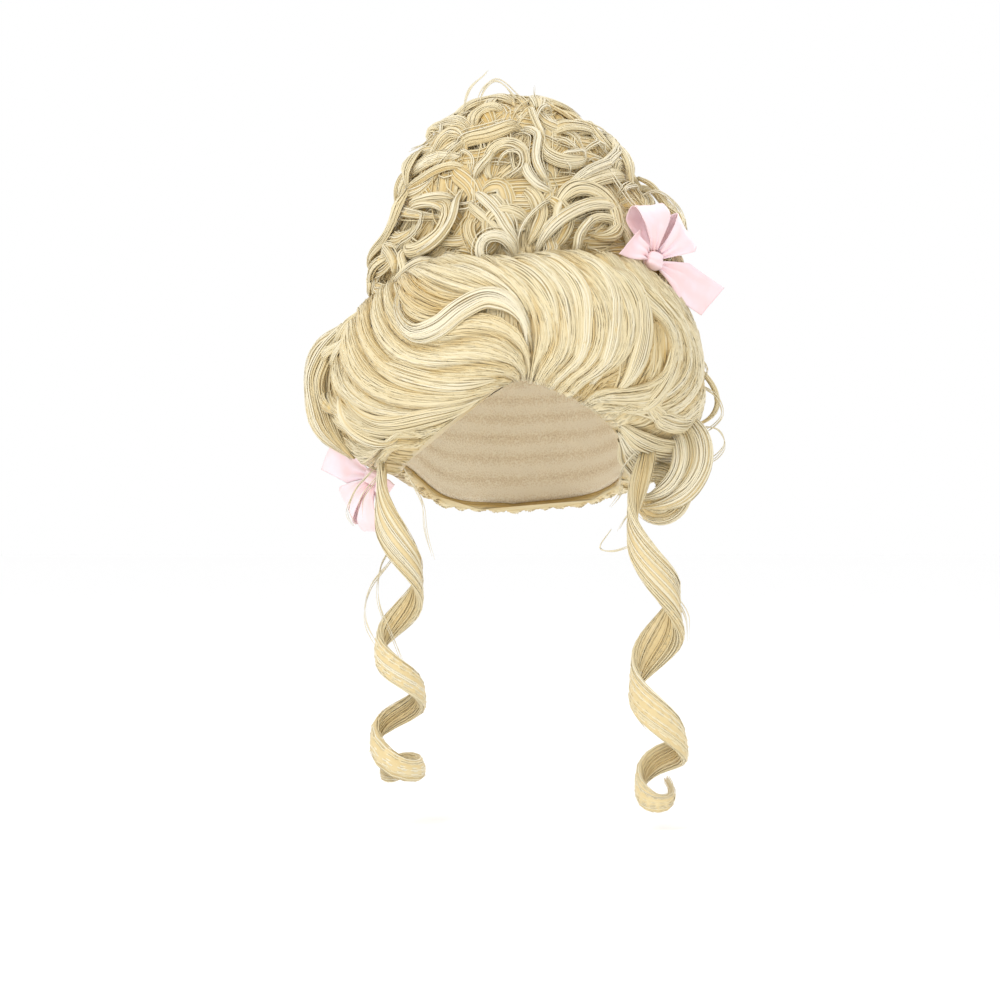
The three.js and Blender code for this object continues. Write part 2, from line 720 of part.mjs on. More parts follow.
function addBow(name, row) {
  const group = new THREE.Group();
  group.position.copy(overRoll(row, row.over * knotDepth));
  group.rotation.z = rad(row.facing);
  const upright = new THREE.Group();
  upright.rotation.x = Math.PI / 2; // the bow's own z axis then points away from the head
  group.add(upright);
  upright.add(named(name + "_knot", bowKnot(), colours.ribbon));
  const ribbons = {
    loop_a: bowLoop(),
    loop_b: bowLoop(),
    tail_a: bowTail(bowTailLength * row.tails[0]),
    tail_b: bowTail(bowTailLength * row.tails[1]),
  };
  Object.entries(ribbons).forEach(([part, geometry], i) => {
    const mesh = named(name + "_" + part, geometry, colours.ribbon);
    mesh.rotation.z = rad(row.turn[i]);
    upright.add(mesh);
  });
  wig.add(group);
}

wig.add(
  named("wig_cap", wigCap(), colours.net),
  named("front_wave_left", rollPart(-earAzimuth, partingAzimuth, 9), colours.hair),
  named("front_wave_right", rollPart(partingAzimuth, earAzimuth, 9), colours.hair),
  named("back_hair", rollPart(earAzimuth, 360 - earAzimuth, 10), colours.hair),
  named("tower", tower(), colours.underHair),
);
for (const [name, places] of Object.entries(frontLocks)) {
  wig.add(named(name, rollLock(places.map(frontSpot), frontLockWidth, frontLockThickness, 0), colours.hair));
}
towerCurls.forEach((row, i) =>
  wig.add(named("tower_curl_" + String(i + 1).padStart(2, "0"), towerCurl(row), colours.hair)),
);
crownLocks.forEach((row, i) => wig.add(named("crown_lock_" + (i + 1), crownLock(row), colours.hair)));
const archSpots = sideArch.map(({ azimuth, share }) => [azimuth, share]);
wig.add(
  named("side_roll_left", rollLock(archSpots, sideArchWidth, sideArchThickness, sideArchRise), colours.hair),
  named(
    "cheek_curl_right",
    barrelCurl(cheekCurl, cheekCurlRadius, cheekCurlWidth, cheekCurlThickness),
    colours.hair,
  ),
);
const ringletSizes = {
  forward: ringletForward, swing: ringletSwing, width: ringletWidth, thickness: ringletThickness,
};
for (const [name, row] of Object.entries(ringlets)) {
  const sizes = { ...ringletSizes, length: ringletLength * row.length };
  wig.add(named(name, hangingCurl(row, sizes, 28, 8), colours.hair));
}
for (const [name, row] of Object.entries(bows)) addBow(name, row);

export default wig;
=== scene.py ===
import math

import bpy
import numpy as np
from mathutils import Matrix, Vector


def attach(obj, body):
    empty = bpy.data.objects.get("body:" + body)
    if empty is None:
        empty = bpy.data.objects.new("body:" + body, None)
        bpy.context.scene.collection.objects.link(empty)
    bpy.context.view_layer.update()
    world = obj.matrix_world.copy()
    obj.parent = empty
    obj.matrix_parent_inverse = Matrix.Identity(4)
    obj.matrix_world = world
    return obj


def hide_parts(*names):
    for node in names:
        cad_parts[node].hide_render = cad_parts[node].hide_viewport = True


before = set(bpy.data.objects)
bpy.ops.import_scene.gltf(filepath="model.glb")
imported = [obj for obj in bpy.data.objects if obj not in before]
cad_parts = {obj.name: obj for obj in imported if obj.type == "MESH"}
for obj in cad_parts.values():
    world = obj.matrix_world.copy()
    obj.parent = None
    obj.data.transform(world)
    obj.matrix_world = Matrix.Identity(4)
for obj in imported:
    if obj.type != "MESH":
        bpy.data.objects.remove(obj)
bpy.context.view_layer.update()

MM = 0.001
rng = np.random.default_rng(17)

# Sizes, as in the part, in millimetres
HOLLOW_WIDTH, HOLLOW_LENGTH, WIDEST_DROP, NAPE_TAPER = 150, 190, 90, 0.35
CAP_WALL, CAP_SETBACK, SEAM = 2, 5, 0.4
NAPE_DROP, ROLL_REACH, CREST_GAP = 150, 44, 1.3
EAR_AZIMUTH = 112
TOWER_HEIGHT, TOWER_HALF_WIDTH = 109, 98
LOCK_CLEARANCE, HANG_CLEARANCE = 0.35, 1.4
CURL_RADIUS, CURL_WIDTH = 20, 14

# azimuth, hairline, belly, reach, crest
ROLL = np.array([
    [-180, 1.0, 0.47, 0.57, 0.0], [-140, 0.97, 0.5, 0.62, -0.03], [-110, 0.84, 0.58, 0.8, -0.12],
    [-80, 0.83, 0.61, 0.93, -0.13], [-55, 0.76, 0.58, 0.8, -0.04], [-30, 0.62, 0.54, 0.64, 0.03],
    [0, 0.475, 0.53, 0.5, 0.03], [15, 0.5, 0.53, 0.54, 0.05], [40, 0.6, 0.56, 0.75, 0.05],
    [65, 0.73, 0.58, 0.93, -0.03], [90, 0.83, 0.56, 1.0, -0.12], [130, 0.95, 0.5, 0.72, -0.05],
    [180, 1.0, 0.47, 0.57, 0.0],
])
# rise, left, right, front, back
TOWER = np.array([
    [-0.3, 0.9, 0.98, 0.7, 0.95], [0.0, 0.88, 0.98, 0.72, 0.94], [0.17, 0.8, 0.97, 0.7, 0.9],
    [0.34, 0.72, 0.89, 0.66, 0.84], [0.52, 0.67, 0.73, 0.6, 0.76], [0.69, 0.57, 0.6, 0.52, 0.64],
    [0.84, 0.46, 0.46, 0.43, 0.5], [0.95, 0.33, 0.33, 0.31, 0.34], [1.0, 0.14, 0.14, 0.13, 0.14],
])
# azimuth, level, radius, start, sweep, shrink, width
TOWER_CURLS = [
    (31, 0.23, 1, 205, -320, 0.4, 0.93), (-43, 0.25, 0.85, 150, 315, 0.3, 0.86),
    (-46, 0.64, 0.85, 200, -225, 0.1, 0.93), (-4, 0.57, 0.65, 230, -300, 0.25, 0.64),
    (-5, 0.17, 0.65, -20, 255, 0.3, 0.79), (30, 0.69, 0.7, 130, 250, 0.1, 0.79),
    (74, 0.5, 0.95, 200, -235, 0.15, 0.93), (84, 0.79, 0.55, 20, 300, 0.25, 0.64),
    (-84, 0.24, 1, 60, 300, 0.35, 1), (-98, 0.65, 0.85, 110, -300, 0.35, 0.93),
    (110, 0.23, 1, 240, -310, 0.4, 1), (124, 0.65, 0.85, 60, 300, 0.35, 0.93),
    (146, 0.22, 1.05, 20, 310, 0.4, 1), (174, 0.61, 0.9, 200, -300, 0.35, 0.93),
    (-175, 0.2, 1, 120, -310, 0.4, 1), (-143, 0.62, 0.85, 300, 300, 0.35, 0.93),
    (-131, 0.22, 1.05, 250, -305, 0.4, 1),
]


# The wig's surfaces
def read_table(table, column, at):
    x, y = table[:, 0], table[:, column]
    last = len(x) - 1
    row = np.clip(np.searchsorted(x, at, side="left") - 1, 0, last - 1)
    span = x[row + 1] - x[row]
    s = np.clip((at - x[row]) / span, 0, 1)
    p, q = np.maximum(row - 1, 0), np.minimum(row + 2, last)
    before = (y[row + 1] - y[p]) / (x[row + 1] - x[p])
    after = (y[q] - y[row]) / (x[q] - x[row])
    s2, s3 = s * s, s * s * s
    return ((2 * s3 - 3 * s2 + 1) * y[row] + (s3 - 2 * s2 + s) * span * before
            + (3 * s2 - 2 * s3) * y[row + 1] + (s3 - s2) * span * after)


def wrap(azimuth):
    return np.mod(np.asarray(azimuth, float) + 180, 360) - 180


def on_oval(azimuth, half_width, half_length, z):
    a = np.radians(azimuth)
    return np.stack(np.broadcast_arrays(half_width * np.sin(a), -half_length * np.cos(a), z), -1)


def skull_point(azimuth, depth, offset):
    down = np.asarray(depth, float) / WIDEST_DROP
    lean = np.maximum(0, 1 - down)
    share = np.where(down < 1, np.sqrt(np.maximum(0, 1 - lean * lean)), 1 - NAPE_TAPER * (down - 1) ** 2)
    z = np.where(down < 1, (WIDEST_DROP + offset) * lean - WIDEST_DROP, -np.asarray(depth, float))
    return on_oval(azimuth, (HOLLOW_WIDTH / 2 + offset) * share, (HOLLOW_LENGTH / 2 + offset) * share, z)


def hairline_drop(azimuth):
    return NAPE_DROP * read_table(ROLL, 1, wrap(azimuth))


def crest_height(azimuth):
    return NAPE_DROP * read_table(ROLL, 4, wrap(azimuth))


def tower_side(azimuth, z, offset):
    a = np.radians(azimuth)
    rise = np.asarray(z, float) / TOWER_HEIGHT
    left, right, front, back = (TOWER_HALF_WIDTH * read_table(TOWER, c, rise) for c in (1, 2, 3, 4))
    half_width = np.where(np.sin(a) < 0, left, right)
    half_length = np.where(np.cos(a) < 0, back, front)
    return on_oval(azimuth, half_width + offset, half_length + offset, z)


def tower_point(azimuth, level):
    crest = crest_height(azimuth)
    return tower_side(azimuth, crest + (TOWER_HEIGHT - crest) * level, 0)


def roll_point(azimuth, share):
    azimuth, share = np.broadcast_arrays(wrap(azimuth), np.asarray(share, float))
    drop = hairline_drop(azimuth)
    out = ROLL_REACH * read_table(ROLL, 3, azimuth)
    belly = on_oval(azimuth, HOLLOW_WIDTH / 2 + out, HOLLOW_LENGTH / 2 + out,
                    -drop * read_table(ROLL, 2, azimuth))
    low = skull_point(azimuth, drop, CAP_WALL + SEAM)
    high = tower_side(azimuth, crest_height(azimuth), SEAM)
    lower = share < 0.5
    end = np.where(lower[..., None], low, high)
    turn = np.pi * np.where(lower, share, 1 - share)
    s, c = np.sin(turn)[..., None], np.cos(turn)
    xy = end[..., :2] + (belly[..., :2] - end[..., :2]) * s
    z = belly[..., 2] + (end[..., 2] - belly[..., 2]) * c
    return np.concatenate([xy, z[..., None]], -1)


def unit(v):
    return v / np.maximum(np.linalg.norm(v, axis=-1, keepdims=True), 1e-9)


def normal_of(surface, u, v, du=1.0, dv=0.01):
    across = surface(u + du, v) - surface(u - du, v)
    up = surface(u, v + dv) - surface(u, v - dv)
    return unit(np.cross(across, up))


def front_spot(x, z):
    """The azimuth and share of the roll that show at a spot seen from the front."""
    x, z = np.asarray(x, float), np.asarray(z, float)
    azimuth, share = np.zeros_like(x), np.full_like(x, 0.5)
    for _ in range(12):
        low, high = np.full_like(x, 0.02), np.full_like(x, 0.985)
        for _ in range(18):
            middle = (low + high) / 2
            too_low = roll_point(azimuth, middle)[..., 2] < z
            low, high = np.where(too_low, middle, low), np.where(too_low, high, middle)
        share = (low + high) / 2
        low, high = np.full_like(x, -93.0), np.full_like(x, 93.0)
        for _ in range(18):
            middle = (low + high) / 2
            too_low = roll_point(middle, share)[..., 0] < x
            low, high = np.where(too_low, middle, low), np.where(too_low, high, middle)
        azimuth = (low + high) / 2
    return np.stack([azimuth, share], -1)


# Paths
def resample(points, n):
    """A smooth line through points, as n places at equal steps."""
    points = np.asarray(points, float)
    ends = np.vstack([2 * points[0] - points[1], points, 2 * points[-1] - points[-2]])
    k = len(points) - 1
    t = np.linspace(0, k, 16 * k + 1)
    i = np.minimum(t.astype(int), k - 1)
    f = (t - i)[:, None]
    p0, p1, p2, p3 = ends[i], ends[i + 1], ends[i + 2], ends[i + 3]
    dense = 0.5 * (2 * p1 + (p2 - p0) * f + (2 * p0 - 5 * p1 + 4 * p2 - p3) * f ** 2
                   + (3 * p1 - p0 - 3 * p2 + p3) * f ** 3)
    length = np.r_[0, np.cumsum(np.linalg.norm(np.diff(dense, axis=0), axis=1))]
    at = np.linspace(0, length[-1], n)
    return np.stack([np.interp(at, length, dense[:, c]) for c in range(points.shape[1])], 1)


def read_rows(rows, at):
    """Rows read at fractional places, smoothly. rows: (G, ...), at: (K,)."""
    last = len(rows) - 1
    i = np.clip(np.floor(at).astype(int), 0, max(last - 1, 0))
    f = (at - i).reshape((-1,) + (1,) * (rows.ndim - 1))
    p0, p1 = rows[np.maximum(i - 1, 0)], rows[i]
    p2, p3 = rows[np.minimum(i + 1, last)], rows[np.minimum(i + 2, last)]
    p0 = np.where((i == 0).reshape(f.shape), 2 * p1 - p2, p0)
    p3 = np.where((i + 2 > last).reshape(f.shape), 2 * p2 - p1, p3)
    return 0.5 * (2 * p1 + (p2 - p0) * f + (2 * p0 - 5 * p1 + 4 * p2 - p3) * f ** 2
                  + (3 * p1 - p0 - 3 * p2 + p3) * f ** 3)


def frames(path, out):
    forward = unit(np.gradient(path, axis=-2))
    side = unit(np.cross(forward, out))
    return forward, side, np.cross(side, forward)


def ease(low, high, t):
    s = np.clip((t - low) / (high - low), 0, 1)
    return s * s * (3 - 2 * s)


def hump(t, first, last):
    """1 between a rise over the first share of a line and a fall over its last one."""
    return np.minimum(ease(0, first, t), ease(0, last, 1 - t))


def waver(count, t, waves, amount):
    """Slow sideways drift of each strand along its length."""
    total = 0
    for k in range(1, waves + 1):
        phase = rng.uniform(0, 2 * np.pi, (count, 1))
        size = rng.normal(0, amount / k, (count, 1))
        total = total + size * np.sin(2 * np.pi * k * 0.6 * t[None] + phase)
    return total


# Meshes made of closed tubes
class Piece:
    """Closed tubes gathered into one mesh. Each tube is rings of points with a shade at each."""

    def __init__(self, name):
        self.name, self.groups = name, []

    def tubes(self, rings, shade, around, length):
        """rings (T, n, m, 3) in mm, shade (T, n, m), around and length in mm (T,)."""
        self.groups.append((rings, np.broadcast_to(shade, rings.shape[:3]), around, length))

    def make(self, material):
        points, shades, faces, sizes, streaks, cells = [], [], [], [], [], []
        start = 0
        areas = [float(np.sum(a * l)) for _, _, a, l in self.groups]
        floor = 0.0
        for (rings, shade, around, length), area in zip(self.groups, areas):
            T, n, m, _ = rings.shape
            points.append(rings.reshape(-1, 3))
            shades.append(shade.reshape(-1))
            # sides
            t, i, j = np.meshgrid(np.arange(T), np.arange(n - 1), np.arange(m), indexing="ij")
            t, i, j = t.ravel(), i.ravel(), j.ravel()
            k = (j + 1) % m
            base = start + t * n * m
            quad = np.stack([base + i * m + j, base + i * m + k, base + (i + 1) * m + k,
                             base + (i + 1) * m + j], 1)
            faces.append(quad.ravel())
            sizes.append(np.full(len(quad), 4))
            uu = np.stack([j, j + 1, j + 1, j], 1) / m
            vv = np.stack([i, i, i + 1, i + 1], 1) / (n - 1)
            streak = np.stack([uu * around[t][:, None] + 7.3 * t[:, None], vv * length[t][:, None]], -1)
            # the atlas: a band for each group, a grid of cells in it
            height = area / sum(areas)
            mean_l, mean_a = np.mean(length), np.mean(around)
            rows = max(1, int(round(math.sqrt(T * height * mean_a / mean_l))))
            cols = -(-T // rows)
            cx, cy = t % cols, t // cols
            au = (cx[:, None] + 0.04 + 0.92 * uu) / cols
            av = floor + height * (cy[:, None] + 0.03 + 0.94 * vv) / rows
            streaks.append(streak.reshape(-1, 2))
            cells.append(np.stack([au, av], -1).reshape(-1, 2))
            # ends
            for end, order in ((0, np.arange(m)[::-1]), (n - 1, np.arange(m))):
                tt = np.arange(T)
                cap = start + tt[:, None] * n * m + end * m + order[None]
                faces.append(cap.ravel())
                sizes.append(np.full(T, m))
                u = np.broadcast_to(order / m, (T, m))
                across, along = u * 0.1 + 7.3 * tt[:, None], np.full((T, m), end / n) * length[:, None]
                streaks.append(np.stack([across, along], -1).reshape(-1, 2))
                cu = (tt % cols)[:, None] + 0.5 + 0.02 * np.cos(2 * np.pi * u)
                edge = 0.012 if end == 0 else 0.985
                cv = (tt // cols)[:, None] + edge + 0.008 * np.sin(2 * np.pi * u)
                cells.append(np.stack([cu / cols, floor + height * cv / rows], -1).reshape(-1, 2))
            start += T * n * m
            floor += height
        points = np.concatenate(points) * MM
        faces, sizes = np.concatenate(faces), np.concatenate(sizes)
        return make_mesh(self.name, points, faces, sizes, material, np.concatenate(shades),
                         np.concatenate(streaks), np.concatenate(cells))


def make_mesh(name, points, faces, sizes, material, shade, streak, cell):
    mesh = bpy.data.meshes.new(name)
    mesh.vertices.add(len(points))
    mesh.vertices.foreach_set("co", points.astype(np.float32).ravel())
    mesh.loops.add(len(faces))
    mesh.loops.foreach_set("vertex_index", faces.astype(np.int32))
    starts = np.r_[0, np.cumsum(sizes)[:-1]].astype(np.int32)
    mesh.polygons.add(len(sizes))
    mesh.polygons.foreach_set("loop_start", starts)
    mesh.polygons.foreach_set("use_smooth", np.full(len(sizes), True))
    mesh.update(calc_edges=True)
    if mesh.validate():
        print("validate changed", name)
    for layer, places in (("OFBake", cell), ("Streak", streak)):
        mesh.uv_layers.new(name=layer).data.foreach_set("uv", places.astype(np.float32).ravel())
    mesh.attributes.new("shade", "FLOAT", "POINT").data.foreach_set("value", shade.astype(np.float32))
    obj = bpy.data.objects.new(name, mesh)
    bpy.context.scene.collection.objects.link(obj)
    mesh.materials.append(material)
    return obj


# Hair
def strand_tubes(piece, path, normal, width, shade, tip=0.15, root=0.6):
    """Thin closed strands. path, normal (K, n, 3), width (K,) or (K, n), shade (K,) or (K, n)."""
    K, n, _ = path.shape
    t = np.linspace(0, 1, n)
    _, side, out = frames(path, normal)
    taper = np.minimum(root + (1 - root) * ease(0, 0.2, t), tip + (1 - tip) * ease(0, 0.3, 1 - t))
    w = np.asarray(width, float).reshape(K, -1) * taper[None]
    w = w[..., None]
    rings = np.stack([path - side * w / 2 - out * 0.14 * w, path + side * w / 2 - out * 0.14 * w,
                      path + out * 0.19 * w], 2)
    length = np.sum(np.linalg.norm(np.diff(path, axis=1), axis=2), 1)
    s = np.broadcast_to(np.asarray(shade, float), (K,
                                                   n)) if np.ndim(shade) != 1 else np.repeat(shade[:, None],
                                                                                             n, 1)
    # the strand's two edges a little darker and its ridge a little lighter: painted shade and painted
    # highlight
    s = np.stack([s - 0.02, s - 0.02, s + 0.03], 2)
    piece.tubes(rings, s, np.full(K, 2.4) * np.mean(w), length)


def spread_rows(guides, fine=6):
    """A field (W, 40, 2) read off guides (G, 40, 2), with more rows between them."""
    G = len(guides)
    return read_rows(guides, np.linspace(0, G - 1, fine * (G - 1) + 1))


def read_field(field, w, t):
    """Bilinear places in a field at w and t from 0 to 1."""
    W, N, _ = field.shape
    a, b = np.clip(w, 0, 1) * (W - 1), np.clip(t, 0, 1) * (N - 1)
    i, j = np.minimum(a.astype(int), W - 2), np.minimum(b.astype(int), N - 2)
    f, g = (a - i)[..., None], (b - j)[..., None]
    return ((field[i, j] * (1 - g) + field[i, j + 1] * g) * (1 - f)
            + (field[i + 1, j] * (1 - g) + field[i + 1, j + 1] * g) * f)


def domes(count, uneven=0.3):
    """Places where waves meet, from 0 to 1, and a lift and shade for each wave."""
    edges = np.linspace(0, 1, count + 1)
    edges[1:-1] += rng.uniform(-uneven, uneven, count - 1) / count
    edges[0], edges[-1] = -0.02, 1.02
    return edges, rng.uniform(-1, 1, count), rng.normal(0, 1, count), rng.uniform(0, 2 * np.pi, 2)


def read_domes(dome, w, t, wander):
    edges, lifts, shades, phase = dome
    count = len(lifts)
    w = w + wander / count * (np.sin(3.3 * t + phase[0]) + 0.5 * np.sin(7.1 * t + 9 * w + phase[1]))
    i = np.clip(np.searchsorted(edges, w) - 1, 0, count - 1)
    a = np.clip(2 * (w - edges[i]) / (edges[i + 1] - edges[i]) - 1, -1, 1)
    return np.sqrt(1 - a * a), lifts[i], shades[i], a


def comb(piece, guides, waves, count, height=2.4, lift=0.8, shade=0.64, strand=1.2, surface=roll_point,
         steps=16, frizz=0.4, sink=(0.0, 1.6), fine=0.8, drift=0.012, wander=0.5, tuck=(0.04, 0.05),
         depth=0.34, columns=8):
    """Hair combed along guides in a surface's own coordinates, gathered into waves and finer locks, with
    painted shade in the gaps between waves.
    """
    field = spread_rows(guides)
    broad, small = domes(waves), domes(waves * 4)

    def relief(w, t):
        d1, l1, s1, a1 = read_domes(broad, w, t, wander)
        d2, l2, s2, _ = read_domes(small, w, t, 0.8)
        start, end = ease(0, tuck[0], t), ease(0, tuck[1], 1 - t)
        up = lift + (d1 - 0.6) * height + 0.5 * l1 + (d2 - 0.6) * fine + 0.25 * l2
        up = up * start * end - sink[0] * (1 - start) - sink[1] * (1 - end)
        # darker in the gaps between waves, by depth, and darker where the strands tuck under at their ends:
        # painted shade; the change from wave to wave is the hair's own tone
        tone = shade + depth * (d1 - 0.8) + 0.08 * (d2 - 0.7) + 0.035 * s1 + 0.03 * s2
        return up, tone - 0.08 * (2 - start - end)

    t = np.linspace(0, 1, 30)
    across = np.linspace(0, 1, columns * waves + 1)
    w, tt = np.broadcast_arrays(across[:, None], t[None])
    uv = read_field(field, w, tt)
    out = normal_of(surface, uv[..., 0], uv[..., 1])
    point = surface(uv[..., 0], uv[..., 1])
    up, tone = relief(w, tt)
    top = point + out * (up - 0.3 * ease(0, 0.08, tt))[..., None]
    low = point + out * (np.minimum(up, 0) - 3.0)[..., None]
    ring = np.concatenate([top, low[::-1]], 0).transpose(1, 0, 2)[None]
    # the sheet under the strands a little darker than they are, and its hidden underside dark: painted shade
    tones = np.concatenate([tone - 0.03, np.full_like(tone, 0.3)], 0).T[None]
    span = np.linalg.norm(np.diff(top, axis=0), axis=-1).sum(0).mean()
    length = np.linalg.norm(np.diff(top, axis=1), axis=-1).sum(1).mean()
    piece.tubes(ring[:, :, ::-1], tones[:, :, ::-1], np.array([2 * span]), np.array([length]))

    t = np.linspace(0, 1, steps)
    w = (np.arange(count) + rng.uniform(0, 1, count)) / count
    begin, reach = rng.uniform(0, 0.04, count), rng.uniform(0.86, 1.0, count)
    short = rng.uniform(0, 1, count) < 0.15
    begin = np.where(short, rng.uniform(0.1, 0.5, count), begin)
    reach = np.where(short, rng.uniform(0.4, 0.7, count), reach)
    tt = np.clip(begin[:, None] + reach[:, None] * t[None], 0, 1)
    ww = np.clip(w[:, None] + waver(count, t, 2, drift), 0, 1)
    uv = read_field(field, ww, tt)
    out = normal_of(surface, uv[..., 0], uv[..., 1])
    up, tone = relief(ww, tt)
    up = up + rng.uniform(-0.28, 0.4, (count, 1)) + waver(count, t, 2, 0.25 * frizz)
    up = np.where(short[:, None], up + 0.2, up)
    path = surface(uv[..., 0], uv[..., 1]) + out * up[..., None]
    _, side, o = frames(path, out)
    lean = np.clip(read_domes(broad, ww, tt, wander)[3], -0.8, 0.8)[..., None]
    normal = unit(o + side * lean * 0.5)
    tone = tone + rng.normal(0, 0.05, (count, 1)) + 0.02 * waver(count, t, 2, 1.0)
    strand_tubes(piece, path, normal, strand * rng.uniform(0.6, 1.3, count), tone, tip=0.3, root=0.7)


CORE_CORNERS = 14


def lock(piece, path, normal, width, height, count, strand=1.4, shade=0.66, steps=20, around=False, twist=0.0,
         root=0.5, tip=0.25, frizz=0.35, core=True, spread=0.08, profile=None, loose=0.12, tilt=0.0,
         frill=0.0):
    """A lock of strands laid over a ridged core. path, normal (n, 3)."""
    t = np.linspace(0, 1, steps)

    def read(values, at):
        stations = np.linspace(0, 1, len(values))
        return np.stack([np.interp(at, stations, values[:, c]) for c in range(values.shape[1])], -1)

    def size_at(at):
        """Half the lock's width, and its height, at places along it."""
        if profile is None:
            swell = np.minimum(root + (1 - root) * ease(0, 0.25, at), tip + (1 - tip) * ease(0, 0.35, 1 - at))
        else:
            swell = np.interp(at, np.linspace(0, 1, len(profile)), profile)
        return width / 2 * swell, height * (0.45 + 0.55 * swell)

    centre = read(path, t)
    forward, side, out = frames(centre, unit(read(normal, t)))
    if tilt:
        out = unit(out * math.cos(tilt) + side * math.sin(tilt))
        side = np.cross(forward, out)
    if core:
        angle = 2 * np.pi * np.arange(CORE_CORNERS) / CORE_CORNERS
        ridge = rng.uniform(-1, 1, CORE_CORNERS)
        c, s = np.cos(angle) * (1 + 0.05 * ridge), np.sin(angle) * (1 + 0.05 * ridge)
        if not around:
            s = np.where(s < 0, s * 0.5, s)
        half, high = size_at(t)
        end = 0.25 + 0.75 * hump(t, 0.08, 0.1)
        ring = (centre[:, None] + side[:, None] * (0.94 * half * end)[:, None, None] * c[None, :, None]
                + out[:, None] * (0.84 * high * end)[:, None, None] * s[None, :, None])[None]
        # the core darker than the strands over it, lighter on its outer side and darker in its grooves:
        # painted shade and painted highlight
        tone = (shade - 0.26 + 0.15 * np.maximum(s, -0.3) + 0.09 * ridge)[None, None]
        length = np.linalg.norm(np.diff(centre, axis=0), axis=1).sum()
        piece.tubes(ring[:, :, ::-1], tone, np.array([np.pi * width * 0.8]), np.array([length]))
    if around:
        theta = 2 * np.pi * (np.arange(count) + rng.uniform(-0.4, 0.4, count)) / count
    else:
        theta = np.radians(rng.permutation(np.linspace(-12, 192, count)) + rng.uniform(-4, 4, count))
    reach = 1 - np.abs(rng.normal(0, loose, count)).clip(0, 0.35)
    begin = rng.uniform(0, 0.04, count)
    at = begin[:, None] + (reach - begin)[:, None] * t[None]
    theta = theta[:, None] + twist * at + waver(count, t, 2, spread)
    r = rng.uniform(0.95, 1.06, count)[:, None] + waver(count, t, 2, 0.03)
    middle, across, away = read(centre, at), read(side, at), read(out, at)
    half, high = size_at(at)
    c, s = np.cos(theta), np.sin(theta)
    high = np.where(s < 0, high * (1.0 if around else 0.5), high)
    hand = rng.choice([-1, 1], (count, 1))
    stray = hand * np.where(rng.uniform(0, 1, (count, 1)) < frill, rng.uniform(0.3, 0.9, (count, 1)), 0)
    strands = middle + across * (half * (r * c + stray))[..., None]
    strands = strands + away * (high * r * s * (1 - 0.5 * np.abs(stray)))[..., None]
    strands = strands + across * waver(count, t, 3, frizz)[..., None] * (0.3 + 0.7 * at[..., None])
    facing = unit(across * (c * high)[..., None] + away * (s * half)[..., None] + 1e-4)
    # strands on the lock's upper side lighter and those beneath darker: painted light and shade, over the
    # hair's own random tone
    tones = (shade + rng.normal(0, 0.06, count))[:, None] + 0.1 * (s - 0.4) + 0.03 * waver(count, t, 2, 1.0)
    strand_tubes(piece, strands, facing, strand * rng.uniform(0.7, 1.3, count), tones, tip=0.25, root=0.75)


def surface_path(surface, spots, steps, lift=0.0, du=1.0, dv=0.01):
    uv = resample(spots, steps)
    out = normal_of(surface, uv[:, 0], uv[:, 1], du, dv)
    return surface(uv[:, 0], uv[:, 1]) + out * np.asarray(lift).reshape(-1, 1), out


# The front view: steps of 0.62 mm across from the left and down from the top
STEP, ACROSS0, DOWN0 = 0.62, 515, 270


def seen(points):
    p = np.asarray(points, float)
    return (p[..., 0] - ACROSS0) * STEP, (DOWN0 - p[..., 1]) * STEP


def on_front(guide, n=44, root=True, crest=True):
    """A guide in the front view as azimuth and share on the roll, carried on to hairline and crest."""
    x, z = seen(resample(guide, n))
    uv = front_spot(x, z)
    if root:
        uv = np.vstack([np.linspace([uv[0, 0], -0.004], uv[0], 5)[:-1], uv])
    if crest:
        over = uv[-1, 0] + np.clip(uv[-1, 0] - uv[-5, 0], -4, 4) * (1 + 3 * (1 - uv[-1, 1]))
        uv = np.vstack([uv, np.linspace(uv[-1], [over, 1.0], 12)[1:]])
    # the map runs out at the roll's sides, so the line is evened out
    for _ in range(4):
        uv[1:-1] = (uv[:-2] + 2 * uv[1:-1] + uv[2:]) / 4
    point = roll_point(uv[:, 0], uv[:, 1])
    length = np.r_[0, np.cumsum(np.linalg.norm(np.diff(point, axis=0), axis=1))]
    at = np.linspace(0, length[-1], n)
    return np.stack([np.interp(at, length, uv[:, c]) for c in (0, 1)], 1)


# Materials
def ramp(nodes, stops):
    node = nodes.new("ShaderNodeValToRGB")
    node.color_ramp.interpolation = "EASE"
    while len(node.color_ramp.elements) < len(stops):
        node.color_ramp.elements.new(0.5)
    for element, (at, colour) in zip(node.color_ramp.elements, stops):
        element.position = at
        element.color = (*colour, 1)
    return node


def math_node(nodes, links, operation, a, b):
    node = nodes.new("ShaderNodeMath")
    node.operation = operation
    for socket, value in zip(node.inputs, (a, b)):
        if hasattr(value, "links"):
            links.new(value, socket)
        else:
            socket.default_value = value
    return node.outputs[0]


def centred(nodes, links, value, amount):
    """A value's swing about a half, amount times as large."""
    return math_node(nodes, links, "MULTIPLY", math_node(nodes, links, "SUBTRACT", value, 0.5), amount)


def new_material(name):
    """A material with its nodes, its links and its surface shader."""
    material = bpy.data.materials.new(name)
    material.use_nodes = True
    tree = material.node_tree
    return material, tree.nodes, tree.links, tree.nodes["Principled BSDF"]


def set_inputs(node, values):
    for name, value in values.items():
        node.inputs[name].default_value = value
    return node


def shade_value(nodes):
    """The shade that the mesh has at each of its points: the thing's own tone, and in places painted light
    and shade.
    """
    node = nodes.new("ShaderNodeAttribute")
    node.attribute_name = "shade"
    return node.outputs["Fac"]


